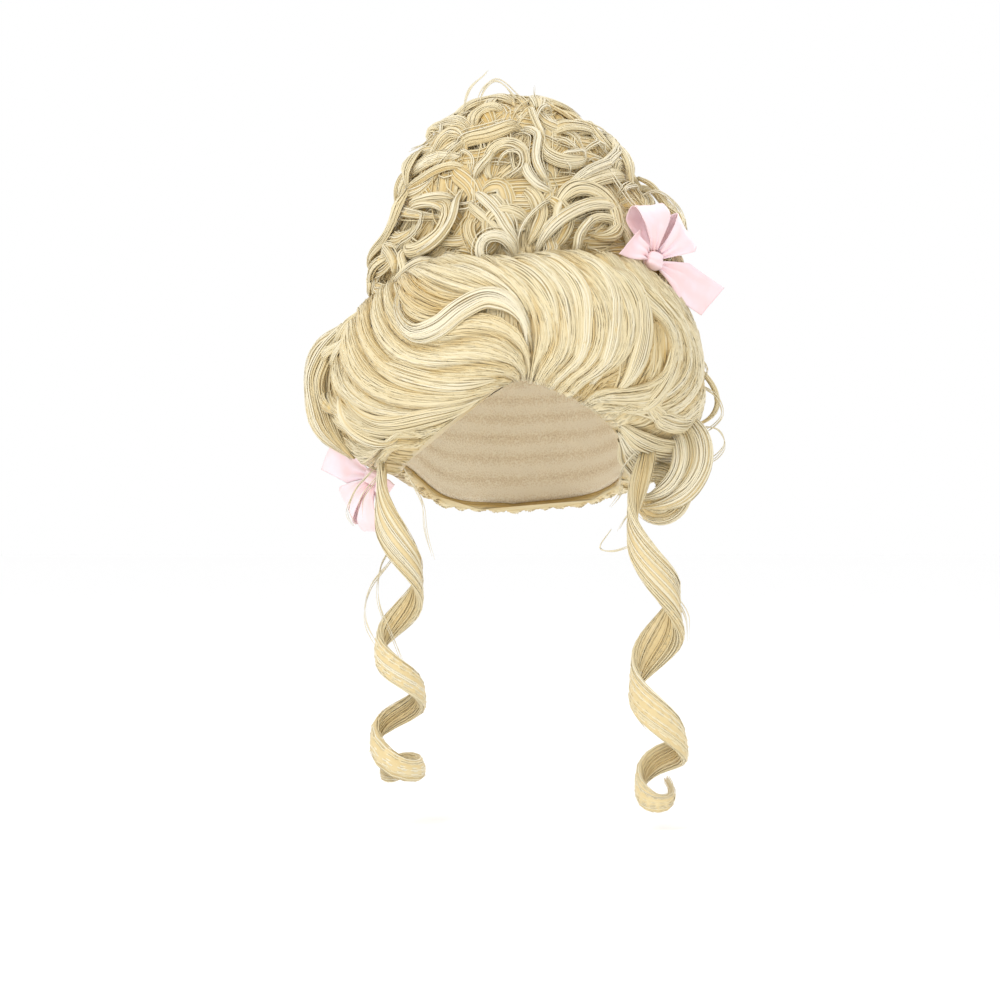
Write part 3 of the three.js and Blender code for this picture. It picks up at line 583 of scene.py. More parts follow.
def streak_noise(nodes, links, stretch, values):
    """Noise drawn out along the strands or threads."""
    uv = nodes.new("ShaderNodeUVMap")
    uv.uv_map = "Streak"
    squash = set_inputs(nodes.new("ShaderNodeMapping"), {"Scale": stretch})
    links.new(uv.outputs[0], squash.inputs[0])
    noise = set_inputs(nodes.new("ShaderNodeTexNoise"), values)
    links.new(squash.outputs[0], noise.inputs["Vector"])
    return noise.outputs[0]


def object_texture(nodes, links, kind, values):
    """A texture laid out in the piece's own space."""
    where = nodes.new("ShaderNodeTexCoord")
    texture = set_inputs(nodes.new(kind), values)
    links.new(where.outputs["Object"], texture.inputs["Vector"])
    return texture


def paint(nodes, links, bsdf, value, stops):
    """The surface's colour, read off a ramp."""
    colour = ramp(nodes, stops)
    links.new(value, colour.inputs[0])
    links.new(colour.outputs[0], bsdf.inputs["Base Color"])


def emboss(nodes, links, bsdf, height, strength, distance):
    bump = set_inputs(nodes.new("ShaderNodeBump"), {"Strength": strength, "Distance": distance})
    links.new(height, bump.inputs["Height"])
    links.new(bump.outputs[0], bsdf.inputs["Normal"])


def hair_material(name, stops):
    material, nodes, links, bsdf = new_material(name)
    fine = streak_noise(nodes, links, (1.25, 0.03, 1), {"Scale": 1.0, "Detail": 4, "Roughness": 0.6})
    broad = object_texture(nodes, links, "ShaderNodeTexNoise", {"Scale": 38, "Detail": 2}).outputs[0]
    streak, cloud = centred(nodes, links, fine, 0.5), centred(nodes, links, broad, 0.22)
    total = math_node(nodes, links, "ADD", math_node(nodes, links, "ADD", shade_value(nodes), streak), cloud)
    paint(nodes, links, bsdf, total, stops)
    rough = math_node(nodes, links, "ADD", math_node(nodes, links, "MULTIPLY", fine, 0.16), 0.34)
    links.new(rough, bsdf.inputs["Roughness"])
    emboss(nodes, links, bsdf, fine, 0.35, 0.0003)
    set_inputs(bsdf, {"Specular IOR Level": 0.4, "Sheen Weight": 0.15, "Sheen Roughness": 0.4})
    return material


# the hair's blond, running from a warm ochre for painted shadow to a pale cream for painted highlight
BLOND_WITH_PAINTED_LIGHT = [(0.0, (0.6, 0.35, 0.1)), (0.25, (0.65, 0.46, 0.17)), (0.5, (0.71, 0.56, 0.29)),
         (0.75, (0.78, 0.67, 0.42)), (1.0, (0.84, 0.765, 0.57))]
hair = hair_material("blond_hair", BLOND_WITH_PAINTED_LIGHT)


# Front waves
LEFT_TOP = [
    [(530, 318), (517, 296), (498, 276), (477, 264), (458, 257), (440, 254)],
    [(530, 333), (518, 309), (499, 291), (474, 277), (448, 267), (430, 259), (420, 256)],
    [(531, 348), (522, 325), (505, 308), (482, 297), (455, 287), (430, 275), (408, 262)],
    [(531, 362), (527, 342), (514, 323), (492, 311), (467, 306), (442, 297), (418, 282), (401, 267)],
]
LEFT_EYE = [
    [(530, 364), (523, 344), (508, 329), (486, 321), (464, 323), (444, 329), (424, 327), (407, 312),
     (398, 293), (396, 271)],
    [(527, 367), (514, 350), (491, 339), (466, 337), (442, 341), (420, 337), (401, 320), (392, 300),
     (391, 277)],
    [(522, 370), (500, 360), (473, 355), (446, 356), (420, 351), (399, 335), (387, 314), (384, 295),
     (386, 282)],
    [(516, 374), (493, 371), (463, 369), (432, 368), (405, 360), (386, 342), (376, 320), (375, 301),
     (380, 288)],
    [(511, 379), (482, 382), (448, 383), (415, 379), (388, 364), (370, 341), (364, 320), (365, 304),
     (373, 292)],
    [(506, 384), (474, 394), (436, 397), (400, 391), (373, 374), (357, 349), (353, 326), (356, 309),
     (366, 297)],
    [(500, 389), (465, 404), (428, 411), (392, 407), (362, 392), (344, 366), (343, 337), (354, 308)],
    [(490, 397), (458, 413), (420, 423), (384, 422), (354, 410), (336, 388), (332, 361), (337, 336),
     (350, 316)],
    [(475, 409), (448, 425), (415, 436), (382, 438), (352, 428), (334, 408), (327, 384), (329, 357),
     (340, 333)],
    [(455, 422), (435, 436), (408, 447), (378, 451), (352, 443), (335, 424), (326, 402), (323, 378),
     (331, 352)],
    [(434, 435), (418, 448), (396, 458), (372, 462), (350, 454), (335, 438), (325, 418), (320, 396),
     (323, 372)],
    [(412, 450), (398, 460), (382, 468), (364, 468), (348, 461), (334, 447), (323, 428), (318, 406),
     (318, 388)],
]
RIGHT_ARCS = [
    [(531, 366), (535, 346), (531, 324), (520, 303), (502, 286), (484, 272), (474, 264)],
    [(533, 371), (543, 350), (542, 326), (531, 303), (514, 284), (494, 268), (484, 262)],
    [(538, 377), (553, 356), (554, 328), (546, 301), (529, 280), (508, 266), (496, 260)],
    [(547, 381), (567, 360), (571, 332), (564, 301), (546, 278), (524, 264), (508, 259)],
    [(556, 383), (580, 366), (588, 336), (581, 304), (563, 280), (540, 265), (522, 259)],
    [(566, 385), (592, 369), (604, 340), (599, 308), (581, 281), (556, 264), (538, 258)],
    [(576, 387), (604, 371), (618, 344), (616, 312), (601, 284), (577, 265), (556, 257)],
    [(586, 389), (614, 373), (630, 346), (632, 318), (622, 292), (604, 272), (584, 261)],
]
RIGHT_CUP = [
    [(590, 391), (614, 391), (637, 388), (655, 379), (666, 363), (667, 344), (660, 328), (646, 316),
     (630, 305), (614, 288)],
    [(592, 396), (618, 398), (645, 395), (665, 384), (678, 366), (679, 346), (671, 327), (656, 311),
     (640, 298), (626, 282)],
    [(597, 402), (624, 407), (653, 404), (675, 392), (689, 372), (690, 350), (681, 328), (664, 308),
     (648, 292), (640, 280)],
    [(604, 408), (632, 414), (662, 412), (684, 399), (698, 378), (699, 353), (690, 328), (672, 306),
     (658, 290)],
    [(612, 416), (641, 423), (671, 420), (693, 406), (706, 384), (707, 357), (698, 330), (680, 306),
     (668, 292)],
    [(622, 425), (650, 432), (679, 429), (700, 414), (712, 392), (713, 365), (705, 337), (690, 312),
     (680, 300)],
    [(634, 437), (659, 442), (686, 438), (705, 424), (715, 403), (716, 376), (710, 349), (699, 328),
     (692, 316)],
    [(645, 448), (667, 450), (692, 446), (709, 432), (717, 412), (718, 388), (714, 364), (706, 344)],
]
RIGHT_EYE = [
    [(590, 386), (606, 377), (622, 364), (633, 348), (637, 332), (634, 318), (626, 306)],
    [(594, 388), (614, 382), (632, 370), (645, 352), (649, 336), (646, 322), (636, 310)],
    [(598, 390), (622, 387), (642, 377), (656, 360), (660, 342), (655, 326), (644, 315)],
]


SIDE_BOW, BODY_INSET = 12.0, 4.2


def side_guides(azimuths):
    """Guides up the roll, which bow sideways at its belly."""
    v = np.linspace(-0.004, 0.99, 40)
    swell = np.sin(np.pi * v)
    return np.stack([np.stack([a + SIDE_BOW * np.sin(math.radians(a)) * swell, v], 1) for a in azimuths])


def base_body(piece, start, stop, count):
    """The combed mass under the locks, painted dark as shade: its inner side on the cap, its outer side
    furrowed.
    """
    azimuth = np.linspace(stop, start, count)
    share = np.linspace(0.0, 1.0, 26)
    swell = np.sin(np.pi * share)[None]
    depths = (hairline_drop(azimuth) - CAP_SETBACK)[:, None] * (np.arange(4, 8) / 7)[None] ** 1.6
    inner = skull_point(azimuth[:, None], depths, CAP_WALL + SEAM)
    furrow = 0.7 * np.sin(azimuth[:, None] * 2.1 + 5 * share[None])
    turned = azimuth[:, None] + 12 * np.sin(np.radians(azimuth))[:, None] * swell
    outer = roll_point(turned, share[None])
    sunk = (BODY_INSET + furrow) * np.minimum(1, 0.15 + 8 * np.minimum(share, 1 - share))[None]
    outer = outer - normal_of(roll_point, turned, share[None]) * sunk[..., None]
    ring = np.concatenate([inner, outer], 1)[None]
    # a dark body under the hair, lighter at the belly and darker in its furrows: painted shade
    tone = np.concatenate([np.full((count, 4), 0.3), 0.36 + 0.1 * swell + 0.02 * furrow], 1)[None]
    piece.tubes(ring, tone, np.array([260.0]), np.array([190.0]))


LEFT_HOOK = [
    [(412, 268), (424, 284), (444, 297), (468, 303), (492, 300), (512, 306)],
    [(404, 274), (414, 293), (434, 307), (454, 313), (476, 310), (500, 310)],
    [(398, 284), (406, 304), (420, 317), (438, 323), (458, 318), (480, 314)],
    [(394, 294), (400, 313), (412, 327), (428, 333), (446, 328), (462, 320)],
]

front_left = Piece("front_hair_left")
base_body(front_left, -EAR_AZIMUTH, 5, 60)
# an undercoat, a little darker than the hair over it: painted shade
comb(front_left, side_guides(np.linspace(-113, 7, 13)), 10, 150, height=1.4, lift=-1.4, shade=0.56,
     strand=2.3, steps=12, columns=5)
comb(front_left, np.stack([on_front(g, root=False) for g in LEFT_TOP]), 3, 170, shade=0.7)
# the hair under the S lock darker: painted shadow
comb(front_left, np.stack([on_front(g, root=False, crest=False) for g in LEFT_HOOK]), 3, 80, lift=0.3,
     shade=0.54)
comb(front_left, np.stack([on_front(g) for g in LEFT_EYE]), 8, 560, height=3.4, shade=0.63, depth=0.5)
comb(front_left, side_guides(np.linspace(-80, -114, 7)), 4, 150, shade=0.64)

front_right = Piece("front_hair_right")
base_body(front_right, 5, EAR_AZIMUTH, 60)
# an undercoat, a little darker than the hair over it: painted shade
comb(front_right, side_guides(np.linspace(3, 113, 12)), 10, 150, height=1.4, lift=-1.4, shade=0.56,
     strand=2.3, steps=12, columns=5)
# the hollow of the right eye darker: painted shade
comb(front_right, np.stack([on_front(g, crest=False) for g in RIGHT_EYE]), 3, 90, lift=-2.0, shade=0.4)
comb(front_right, np.stack([on_front(g) for g in RIGHT_CUP]), 6, 340, height=3.6, lift=1.0, shade=0.72,
     depth=0.42)
comb(front_right, np.stack([on_front(g) for g in RIGHT_ARCS]), 6, 340, height=3.6, lift=1.4, shade=0.7,
     depth=0.42)
comb(front_right, side_guides(np.linspace(80, 114, 7)), 4, 130, shade=0.64)

FRONT_LOCKS_LEFT = {
    "front_lock_left_s": [(0.055, 0.42), (0.07, 0.3), (0.0, 0.2), (-0.125, 0.155), (-0.26, 0.195),
                          (-0.38, 0.265), (-0.5, 0.285), (-0.585, 0.2), (-0.59, 0.09), (-0.53, 0.02)],
    "front_lock_left_c": [(-0.06, 0.46), (-0.33, 0.49), (-0.6, 0.44), (-0.75, 0.32), (-0.745, 0.2),
                          (-0.7, 0.12)],
    "front_lock_left_low": [(-0.16, 0.57), (-0.44, 0.65), (-0.7, 0.64), (-0.86, 0.55), (-0.9, 0.42),
                            (-0.86, 0.3)],
}
FRONT_LOCKS_RIGHT = {
    "front_lock_right_1": [(0.17, 0.43), (0.205, 0.27), (0.13, 0.11), (-0.02, 0.02), (-0.15, -0.015)],
    "front_lock_right_2": [(0.27, 0.46), (0.345, 0.3), (0.33, 0.14), (0.24, 0.03), (0.12, -0.02)],
    "front_lock_right_3": [(0.38, 0.49), (0.48, 0.32), (0.49, 0.14), (0.4, 0.02), (0.28, -0.02)],
    "front_lock_right_4": [(0.5, 0.53), (0.62, 0.37), (0.65, 0.2), (0.58, 0.07), (0.47, 0.01)],
    "front_lock_right_5": [(0.62, 0.59), (0.78, 0.45), (0.82, 0.29), (0.77, 0.15)],
    "front_lock_right_low": [(0.7, 0.735), (0.84, 0.705), (0.935, 0.6), (0.955, 0.45)],
}


def front_lock(piece, spots, width=13.0, height=3.0, count=26, shade=0.74, lift=1.6, **more):
    p = np.array(spots)
    uv = front_spot(p[:, 0] * (HOLLOW_WIDTH / 2 + ROLL_REACH), -p[:, 1] * NAPE_DROP)
    path, out = surface_path(roll_point, uv, 40, 0.0)
    t = np.linspace(0, 1, 40)
    rise = lift * hump(t, 0.14, 0.12) - 1.0 + LOCK_CLEARANCE
    lock(piece, path + out * rise[:, None], out, width, height, count, shade=shade, steps=26, **more)


for name, spots in FRONT_LOCKS_LEFT.items():
    bold = name.endswith("_s")
    front_lock(front_left, spots, shade=0.86 if bold else 0.72, height=4.2 if bold else 2.6,
               lift=3.4 if bold else 1.2, count=30 if bold else 22, root=0.2)
for name, spots in FRONT_LOCKS_RIGHT.items():
    front_lock(front_right, spots, shade=0.76, height=2.8, lift=1.6, count=22, root=0.25)


def roll_lock(piece, points, width, height, lift, shade, count):
    """A lock lying on the roll along a line given on the front view."""
    uv = on_front(points, 36, False, False)
    out = normal_of(roll_point, uv[:, 0], uv[:, 1])
    t = np.linspace(0, 1, 36)
    up = lift * hump(t, 0.2, 0.2) - 0.6
    lock(piece, roll_point(uv[:, 0], uv[:, 1]) + out * up[:, None], out, width, height, count, shade=shade,
         steps=18, root=0.3)


def swept_lock(piece, spots, width, height, lift, shade, count):
    """A lock lying on the roll through places given as azimuth and share."""
    t = np.linspace(0, 1, 36)
    up = lift * hump(t, 0.2, 0.2) - 0.6
    path, out = surface_path(roll_point, spots, 36, up)
    lock(piece, path, out, width, height, count, shade=shade, steps=18, root=0.3, tilt=rng.uniform(-0.2, 0.2))


# three locks round the lowest curl on the right: azimuth and share along each, and its shade
LOW_CURL_LOCKS = [
    ([(48, 0.07), (66, 0.13), (82, 0.23), (94, 0.38), (98, 0.56)], 0.74),
    ([(52, 0.03), (70, 0.07), (88, 0.16), (100, 0.3), (105, 0.48)], 0.9),
    ([(58, 0.0), (76, 0.015), (94, 0.08), (106, 0.2), (112, 0.36)], 0.8),
]
for spots, shade in LOW_CURL_LOCKS:
    swept_lock(front_right, spots, 15, 4.0, 3.4, shade, 22)
# the seams to the back hair lie under locks swept up and back
for piece, hand in ((front_left, -1), (front_right, 1)):
    for k in range(8):
        start = 97 + 1.6 * k + rng.uniform(-3, 3)
        low = -0.02 + 0.09 * k
        spots = np.array([(start, low), (start + 4, low + 0.1), (start + 11, low + 0.2),
                          (start + 22, low + 0.3)])
        swept_lock(piece, spots * (hand, 1), rng.uniform(15, 20), 2.2, 0.9, 0.66 + rng.uniform(-0.03, 0.04),
                   14)
# locks round the left edge, on the front view: width, lift and shade
LEFT_EDGE_LOCKS = [
    ([(352, 330), (336, 352), (328, 380), (334, 406), (350, 424)], 9, 2.4, 0.8),
    ([(348, 318), (334, 338), (327, 364), (328, 392), (340, 420)], 13, 6.5, 0.7),
    ([(344, 336), (331, 362), (328, 388), (334, 412)], 9, 8.0, 0.76),
    ([(362, 308), (344, 330), (332, 356), (328, 384)], 7, 2.4, 0.74),
    ([(338, 396), (350, 424), (374, 440), (402, 442)], 7, 2.4, 0.76),
]
for points, width, lift, shade in LEFT_EDGE_LOCKS:
    roll_lock(front_left, points, width, 3.0, lift, shade, 16)

# Back hair
back = Piece("back_hair_combed")
base_body(back, EAR_AZIMUTH, 360 - EAR_AZIMUTH, 70)
sway = side_guides(np.linspace(108, 252, 15))
sway[..., 0] += 3.0 * np.sin(7 * sway[..., 1] + 0.05 * sway[..., 0])
comb(back, sway, 14, 580, height=3.4, shade=0.66, strand=1.5)

# Tower
tower = Piece("tower_hair")
rings = []
azimuth = np.arange(120) * 3.0
for depth_share in (1 / 7, 2 / 7, 3 / 7):
    rings.append(skull_point(azimuth, (hairline_drop(azimuth) - CAP_SETBACK) * depth_share ** 1.6,
                             CAP_WALL + SEAM))
for share in np.r_[0, np.linspace(0.006, 1, 16)]:
    turned = azimuth + 55 * share
    crest = crest_height(turned) + CREST_GAP
    furrow = 1.3 * np.sin(np.radians(azimuth * 14)) + 1.2 * np.sin(np.radians(azimuth * 37 + 200 * share))
    inset = -1 if share == 0 else -8 + 2.5 * share - furrow * (1 - share)
    z = crest + (TOWER_HEIGHT - 4 - crest) * share
    rings.append(tower_side(turned, z, inset))
rings = np.stack(rings)[None]
# the tower's body is given a darker tone than the hair over it: painted shade in the hollows between curls
tower.tubes(rings, np.full((1, len(rings[0]), 120), 0.5), np.array([500.0]), np.array([190.0]))


def tower_flat(azimuth, level):
    return tower_point(azimuth, np.clip(level, -0.05, 0.985))


def curl_spots(azimuth, level, radius, start, sweep, shrink):
    """A curl's line round a place on the tower, as azimuth and level."""
    middle = tower_point(azimuth, level)
    span = TOWER_HEIGHT - crest_height(azimuth)
    per_mm = math.degrees(1 / math.hypot(middle[0], middle[1]))
    s = np.linspace(0, 1, 12)
    turn = np.radians(start + sweep * s)
    reach = radius * (1 - shrink * s)
    return np.stack([azimuth + reach * np.cos(turn) * per_mm, level + reach * np.sin(turn) / span], 1)


def tower_lock(piece, spots, width, height, count, lift, shade, **more):
    path, out = surface_path(tower_flat, spots, 36)
    t = np.linspace(0, 1, 36)
    up = np.interp(t, np.linspace(0, 1, len(lift)), lift)
    lock(piece, path + out * up[:, None], out, width, height, count, shade=shade, **more)


# under the curls the tower is wrapped in waves of hair
wrap_v = np.linspace(0.0, 0.97, 40)
WRAP_LEAN = 46
for start in (-180, -60, 60):
    guides = np.stack([np.stack([start + a + WRAP_LEAN * wrap_v + 7 * np.sin(9 * wrap_v + a / 23), wrap_v], 1)
                       for a in np.linspace(0, 121, 9)])
    comb(tower, guides, 8, 150, height=3.4, lift=-2.0, shade=0.62, strand=1.7, surface=tower_flat, steps=13,
         sink=(6, 6), frizz=1.0, drift=0.03, tuck=(0.02, 0.05), columns=7)


def roam(azimuth, level, long, heading, bend, phase, steps=13):
    """A line that wanders over the tower in waves, long mm, as azimuth and level."""
    spots = [(azimuth, level)]
    step = long / (steps - 1)
    for k in range(steps - 1):
        turn = math.radians(heading + bend * math.sin(2 * math.pi * k / (steps - 1) + phase))
        middle = tower_point(azimuth, level)
        azimuth = azimuth + step * math.cos(turn) * math.degrees(1 / max(math.hypot(middle[0], middle[1]),
                                                                         12))
        level = level + step * math.sin(turn) / float(TOWER_HEIGHT - crest_height(azimuth))
        level = float(np.clip(level, -0.04, 1.0))
        spots.append((azimuth, level))
    return np.array(spots)


LAYERS = (
    # name, rows of (level, count), widths, lengths, bends, lifts, strands, shade, core; the lower layers are
    # painted darker, as shade
    ("tower_fill_low", ((0.03, 15), (0.16, 15), (0.3, 13), (0.44, 12), (0.58, 10), (0.71, 8), (0.84, 5)),
     (13, 18), (65, 105), (20, 55), (-1.2, 0.8), 10, 0.6, True),
    ("tower_fill_mid", ((0.06, 16), (0.22, 16), (0.37, 14), (0.51, 12), (0.64, 10), (0.76, 8), (0.88, 5)),
     (7, 13), (50, 90), (35, 85), (1.0, 3.4), 8, 0.74, True),
    ("tower_fill_top", ((0.08, 16), (0.22, 16), (0.36, 15), (0.5, 13), (0.63, 11), (0.75, 9), (0.86, 7),
                        (0.95, 6)),
     (2.5, 6.0), (45, 90), (40, 100), (3.0, 5.5), 4, 0.84, False),
)
fills = []
for name, rows, widths, lengths, bends, lifts, strands, tone, core in LAYERS:
    layer = Piece(name)
    for row, (level, count) in enumerate(rows):
        for k in range(count):
            azimuth = 360 * (k + 0.5 * (row % 2) + rng.uniform(-0.35, 0.35)) / count - 180
            spots = roam(azimuth, level + rng.uniform(-0.05, 0.05), rng.uniform(*lengths),
                         rng.uniform(20, 160), rng.uniform(*bends) * rng.choice([-1, 1]), rng.uniform(0, 6.3))
            top = rng.uniform(*lifts)
            if name != "tower_fill_low" and abs(wrap(azimuth)) < 62:
                top = top - 2.0
                if name == "tower_fill_top" and rng.uniform() < 0.6:
                    continue
            # each lock lighter the higher it is lifted: painted shade
            tower_lock(layer, spots, rng.uniform(*widths), 2.6 if core else 1.2, strands,
                       [top - 3.5, top - 0.6, top, top - 0.4, top - rng.uniform(1, 4)],
                       tone + 0.02 * top + rng.normal(0, 0.035), strand=1.3 if core else 1.0, steps=14,
                       frizz=0.4, core=core, tilt=rng.uniform(-0.3, 0.3), root=0.3, tip=0.15, frill=0.15)
    fills.append(layer)

# locks over the tower's front: a line on the front view, width, lift and shade
TOWER_LOCKS = [
    ([(470, 158), (457, 154), (441, 158), (423, 169), (410, 181), (406, 193), (407, 206), (416, 213),
      (429, 217), (441, 216), (452, 219)], 8, 6, 0.82),
    ([(471, 168), (457, 167), (440, 171), (429, 177), (417, 186), (410, 198)], 5, 4.5, 0.7),
    ([(410, 205), (423, 200), (437, 198), (452, 199), (462, 203)], 6, 5, 0.8),
    ([(410, 209), (429, 205), (443, 209), (454, 221)], 4, 5.5, 0.74),
    ([(459, 186), (460, 200), (459, 219), (452, 234), (441, 247), (429, 255), (417, 256), (410, 247)], 3.6, 8,
     0.92),
    ([(412, 226), (416, 240), (427, 248), (440, 241), (448, 228), (447, 220)], 3, 6, 0.74),
    ([(396, 181), (392, 200), (391, 219), (388, 233), (378, 245), (371, 259), (370, 279)], 9, 4, 0.78),
    ([(410, 247), (396, 245), (391, 254), (389, 266), (392, 281)], 5, 6, 0.76),
    ([(409, 247), (406, 259), (409, 270), (404, 284)], 5, 5, 0.76),
    ([(378, 250), (374, 266), (381, 282), (376, 298)], 7, 5, 0.74),
    ([(471, 190), (485, 203), (499, 219), (507, 234), (516, 248), (517, 263)], 6.5, 6.5, 0.9),
    ([(465, 202), (482, 219), (496, 233), (511, 251)], 5.5, 4.5, 0.74),
    ([(487, 195), (497, 206), (507, 221), (517, 241)], 4.5, 5.5, 0.8),
    ([(501, 198), (507, 209), (515, 228), (518, 247)], 3, 7, 0.88),
    ([(493, 172), (501, 162), (511, 157), (520, 160), (521, 171), (515, 179), (501, 185), (491, 185)], 2.4, 8,
     0.9),
    ([(493, 151), (492, 161), (483, 172), (474, 184)], 4, 6.5, 0.82),
    ([(457, 157), (466, 155), (475, 161), (477, 171), (470, 184)], 2.6, 8, 0.9),
    ([(517, 266), (511, 249), (499, 241), (487, 244), (482, 256), (487, 270), (499, 281)], 6, 8, 0.92),
    ([(429, 139), (434, 122), (451, 117), (466, 122), (478, 132)], 9, 4, 0.76),
    ([(398, 181), (403, 164), (417, 153), (434, 146), (448, 144)], 8, 5, 0.8),
    ([(455, 150), (468, 141), (490, 137), (515, 128), (528, 134)], 10, 4.5, 0.62),
    ([(450, 152), (457, 143), (469, 135), (490, 130), (514, 122), (526, 116)], 3, 7.5, 0.92),
    ([(488, 119), (490, 102), (501, 95), (515, 94), (525, 101), (530, 112)], 9, 3, 0.76),
    ([(470, 128), (478, 112), (492, 106), (508, 108)], 9, 3, 0.72),
    ([(529, 105), (531, 119), (538, 136), (546, 147)], 4, 7, 0.8),
    ([(556, 109), (542, 110), (536, 116), (534, 126), (538, 139)], 2.6, 7.5, 0.88),
    ([(521, 122), (529, 132), (536, 140), (535, 151), (534, 164), (538, 176), (546, 186), (556, 190)], 5, 7,
     0.9),
    ([(525, 161), (525, 176), (534, 189), (545, 195), (556, 196)], 5, 6, 0.9),
    ([(560, 197), (573, 183), (590, 171), (604, 164), (613, 155), (612, 144), (604, 136), (597, 130),
      (579, 129), (562, 132)], 6, 7, 0.88),
    ([(560, 200), (578, 188), (598, 178), (618, 172), (634, 176)], 11, 4, 0.7),
    ([(615, 158), (626, 172), (635, 183), (646, 195), (660, 206)], 8, 5.5, 0.8),
    ([(622, 176), (618, 188), (615, 198)], 2.5, 6.5, 0.88),
    ([(630, 180), (627, 190), (624, 198)], 2.5, 6.5, 0.86),
    ([(635, 172), (649, 183), (659, 196), (668, 209), (681, 218), (689, 232), (688, 244)], 8, 5.5, 0.82),
    ([(579, 153), (590, 146), (598, 143), (605, 147), (602, 156)], 2, 8, 0.92),
    ([(555, 157), (566, 157), (576, 155), (580, 159), (581, 167)], 2, 8, 0.92),
    ([(555, 140), (566, 148), (574, 158)], 3.4, 7, 0.86),
    ([(556, 160), (563, 168), (569, 177)], 2, 7.5, 0.9),
    ([(556, 200), (541, 210), (528, 223), (521, 235), (518, 247), (519, 258)], 2.6, 8, 0.92),
    ([(560, 203), (555, 214), (553, 226), (548, 240)], 4, 6, 0.82),
    ([(535, 258), (542, 241), (553, 228), (570, 216), (587, 209), (604, 209), (618, 216), (628, 227)], 8.5, 7,
     0.88),
    ([(579, 260), (578, 241), (584, 228), (595, 221), (609, 223), (621, 233), (626, 247), (623, 259),
      (612, 266)],
     5, 5, 0.74),
    ([(584, 248), (595, 256), (609, 262), (624, 263)], 1.6, 6, 0.88),
    ([(573, 260), (574, 241), (584, 226), (593, 216)], 4, 7, 0.86),
    ([(556, 121), (578, 121), (600, 130), (620, 145), (636, 166), (650, 185)], 9, 3.5, 0.78),
    ([(545, 132), (566, 126), (590, 127), (606, 140)], 8, 4, 0.74),
    ([(520, 185), (534, 200), (540, 218), (534, 236), (524, 254)], 9, 3.5, 0.68),
    ([(540, 196), (556, 206), (566, 222), (560, 240), (548, 258)], 9, 3, 0.66),
    ([(475, 215), (470, 232), (476, 250), (490, 264)], 7, 3, 0.6),
    ([(438, 262), (454, 261), (469, 268), (487, 274)], 5, 6, 0.86),
    ([(422, 262), (440, 270), (462, 272)], 6, 4, 0.76),
    ([(690, 247), (686, 262), (676, 276), (664, 288)], 8, 4, 0.76),
    ([(397, 306), (400, 288), (410, 274), (426, 265), (446, 262)], 7, 6, 0.86),
    ([(640, 200), (650, 214), (652, 230), (644, 246)], 8, 3, 0.7),
    ([(628, 230), (636, 246), (634, 262), (622, 272)], 7, 3.5, 0.72),
]


def tower_seen(points, lift, n=32):
    """A line given on the front view, laid over the tower: places and the way out from each."""
    x, z = seen(resample(points, n))
    rise = z / TOWER_HEIGHT
    half = TOWER_HALF_WIDTH * np.where(x < 0, read_table(TOWER, 1, rise), read_table(TOWER, 2, rise))
    azimuth = np.degrees(np.arcsin(np.clip(x / half, -0.985, 0.985)))
    wander = 15 * np.sin(np.linspace(0, 4.5, n) + rng.uniform(0, 6.3))
    azimuth = azimuth + wander * ease(0.8, 0.985, np.abs(x / half))
    out = normal_of(lambda a, v: tower_side(a, v, 0), azimuth, z, 1.0, 1.0)
    path = tower_side(azimuth, z, 0) + out * lift[:, None]
    path[:, 0] += np.sign(x) * np.maximum(np.abs(x) - 0.985 * half, 0)
    return path, out


tower_front = Piece("tower_locks")
for points, width, lift, tone in TOWER_LOCKS:
    s = np.linspace(0, 1, 32)
    path, out = tower_seen(points, (lift + 3) * hump(s, 0.25, 0.25) - 4)
    thin = width < 3.5
    lock(tower_front, path, out, width, 1.4 if thin else 3.2, 4 if thin else int(6 + 1.9 * width), shade=tone,
         strand=1.0 if thin else 1.15, steps=16, frizz=0.3, core=not thin, root=0.35, tip=0.2, frill=0.15,
         tilt=0.0 if thin else rng.uniform(-0.2, 0.2))

curls = Piece("tower_curls")
for azimuth, level, radius, start, sweep, shrink, width in TOWER_CURLS:
    spots = curl_spots(azimuth, level, radius * CURL_RADIUS, start, sweep, shrink)
    tower_lock(curls, spots, width * CURL_WIDTH * 0.8, 3.8, 18, [0.0, 3.6, 4.4, 3.8, 2.0], 0.74, strand=1.3,
               steps=22, frizz=0.4, tip=0.2)

CROWN_LOCKS = [((-0.36, -0.2), (-0.13, -0.1), (0.0, -0.34)), ((0.14, -0.36), (0.16, -0.08), (0.4, -0.04)),
               ((-0.34, 0.12), (-0.02, 0.12), (0.28, 0.3))]


def crown_point(x, y):
    azimuth = np.degrees(np.arctan2(x, -y))
    low, high = np.full(np.shape(x), 0.3), np.ones(np.shape(x))
    for _ in range(24):
        level = (low + high) / 2
        side = tower_point(azimuth, level)
        wide = np.hypot(side[..., 0], side[..., 1]) > np.hypot(x, y)
        low, high = np.where(wide, level, low), np.where(wide, high, level)
    crest = crest_height(azimuth)
    return np.stack([x, y, crest + (TOWER_HEIGHT - crest) * low], -1)


CROWN_FILL = [((-0.34, 0.0), (0.0, -0.05), (0.3, 0.03)), ((-0.24, 0.12), (0.0, 0.07), (0.26, 0.13)),
              ((-0.2, -0.13), (0.02, -0.11), (0.22, -0.16))]
crown = Piece("crown_locks")
for spots in CROWN_FILL:
    path, out = surface_path(crown_point, np.array(spots) * TOWER_HALF_WIDTH, 36, 1.4, 1.0, 1.0)
    lock(crown, path, out, 13, 3.4, 16, shade=0.66, strand=1.3, steps=14)
for spots in CROWN_LOCKS:
    path, out = surface_path(crown_point, np.array(spots) * TOWER_HALF_WIDTH, 36, 3.0, 1.0, 1.0)
    lock(crown, path, out, 12, 3.6, 20, shade=0.76, strand=1.3, steps=20)

# Hanging curls
side_roll = Piece("side_roll")
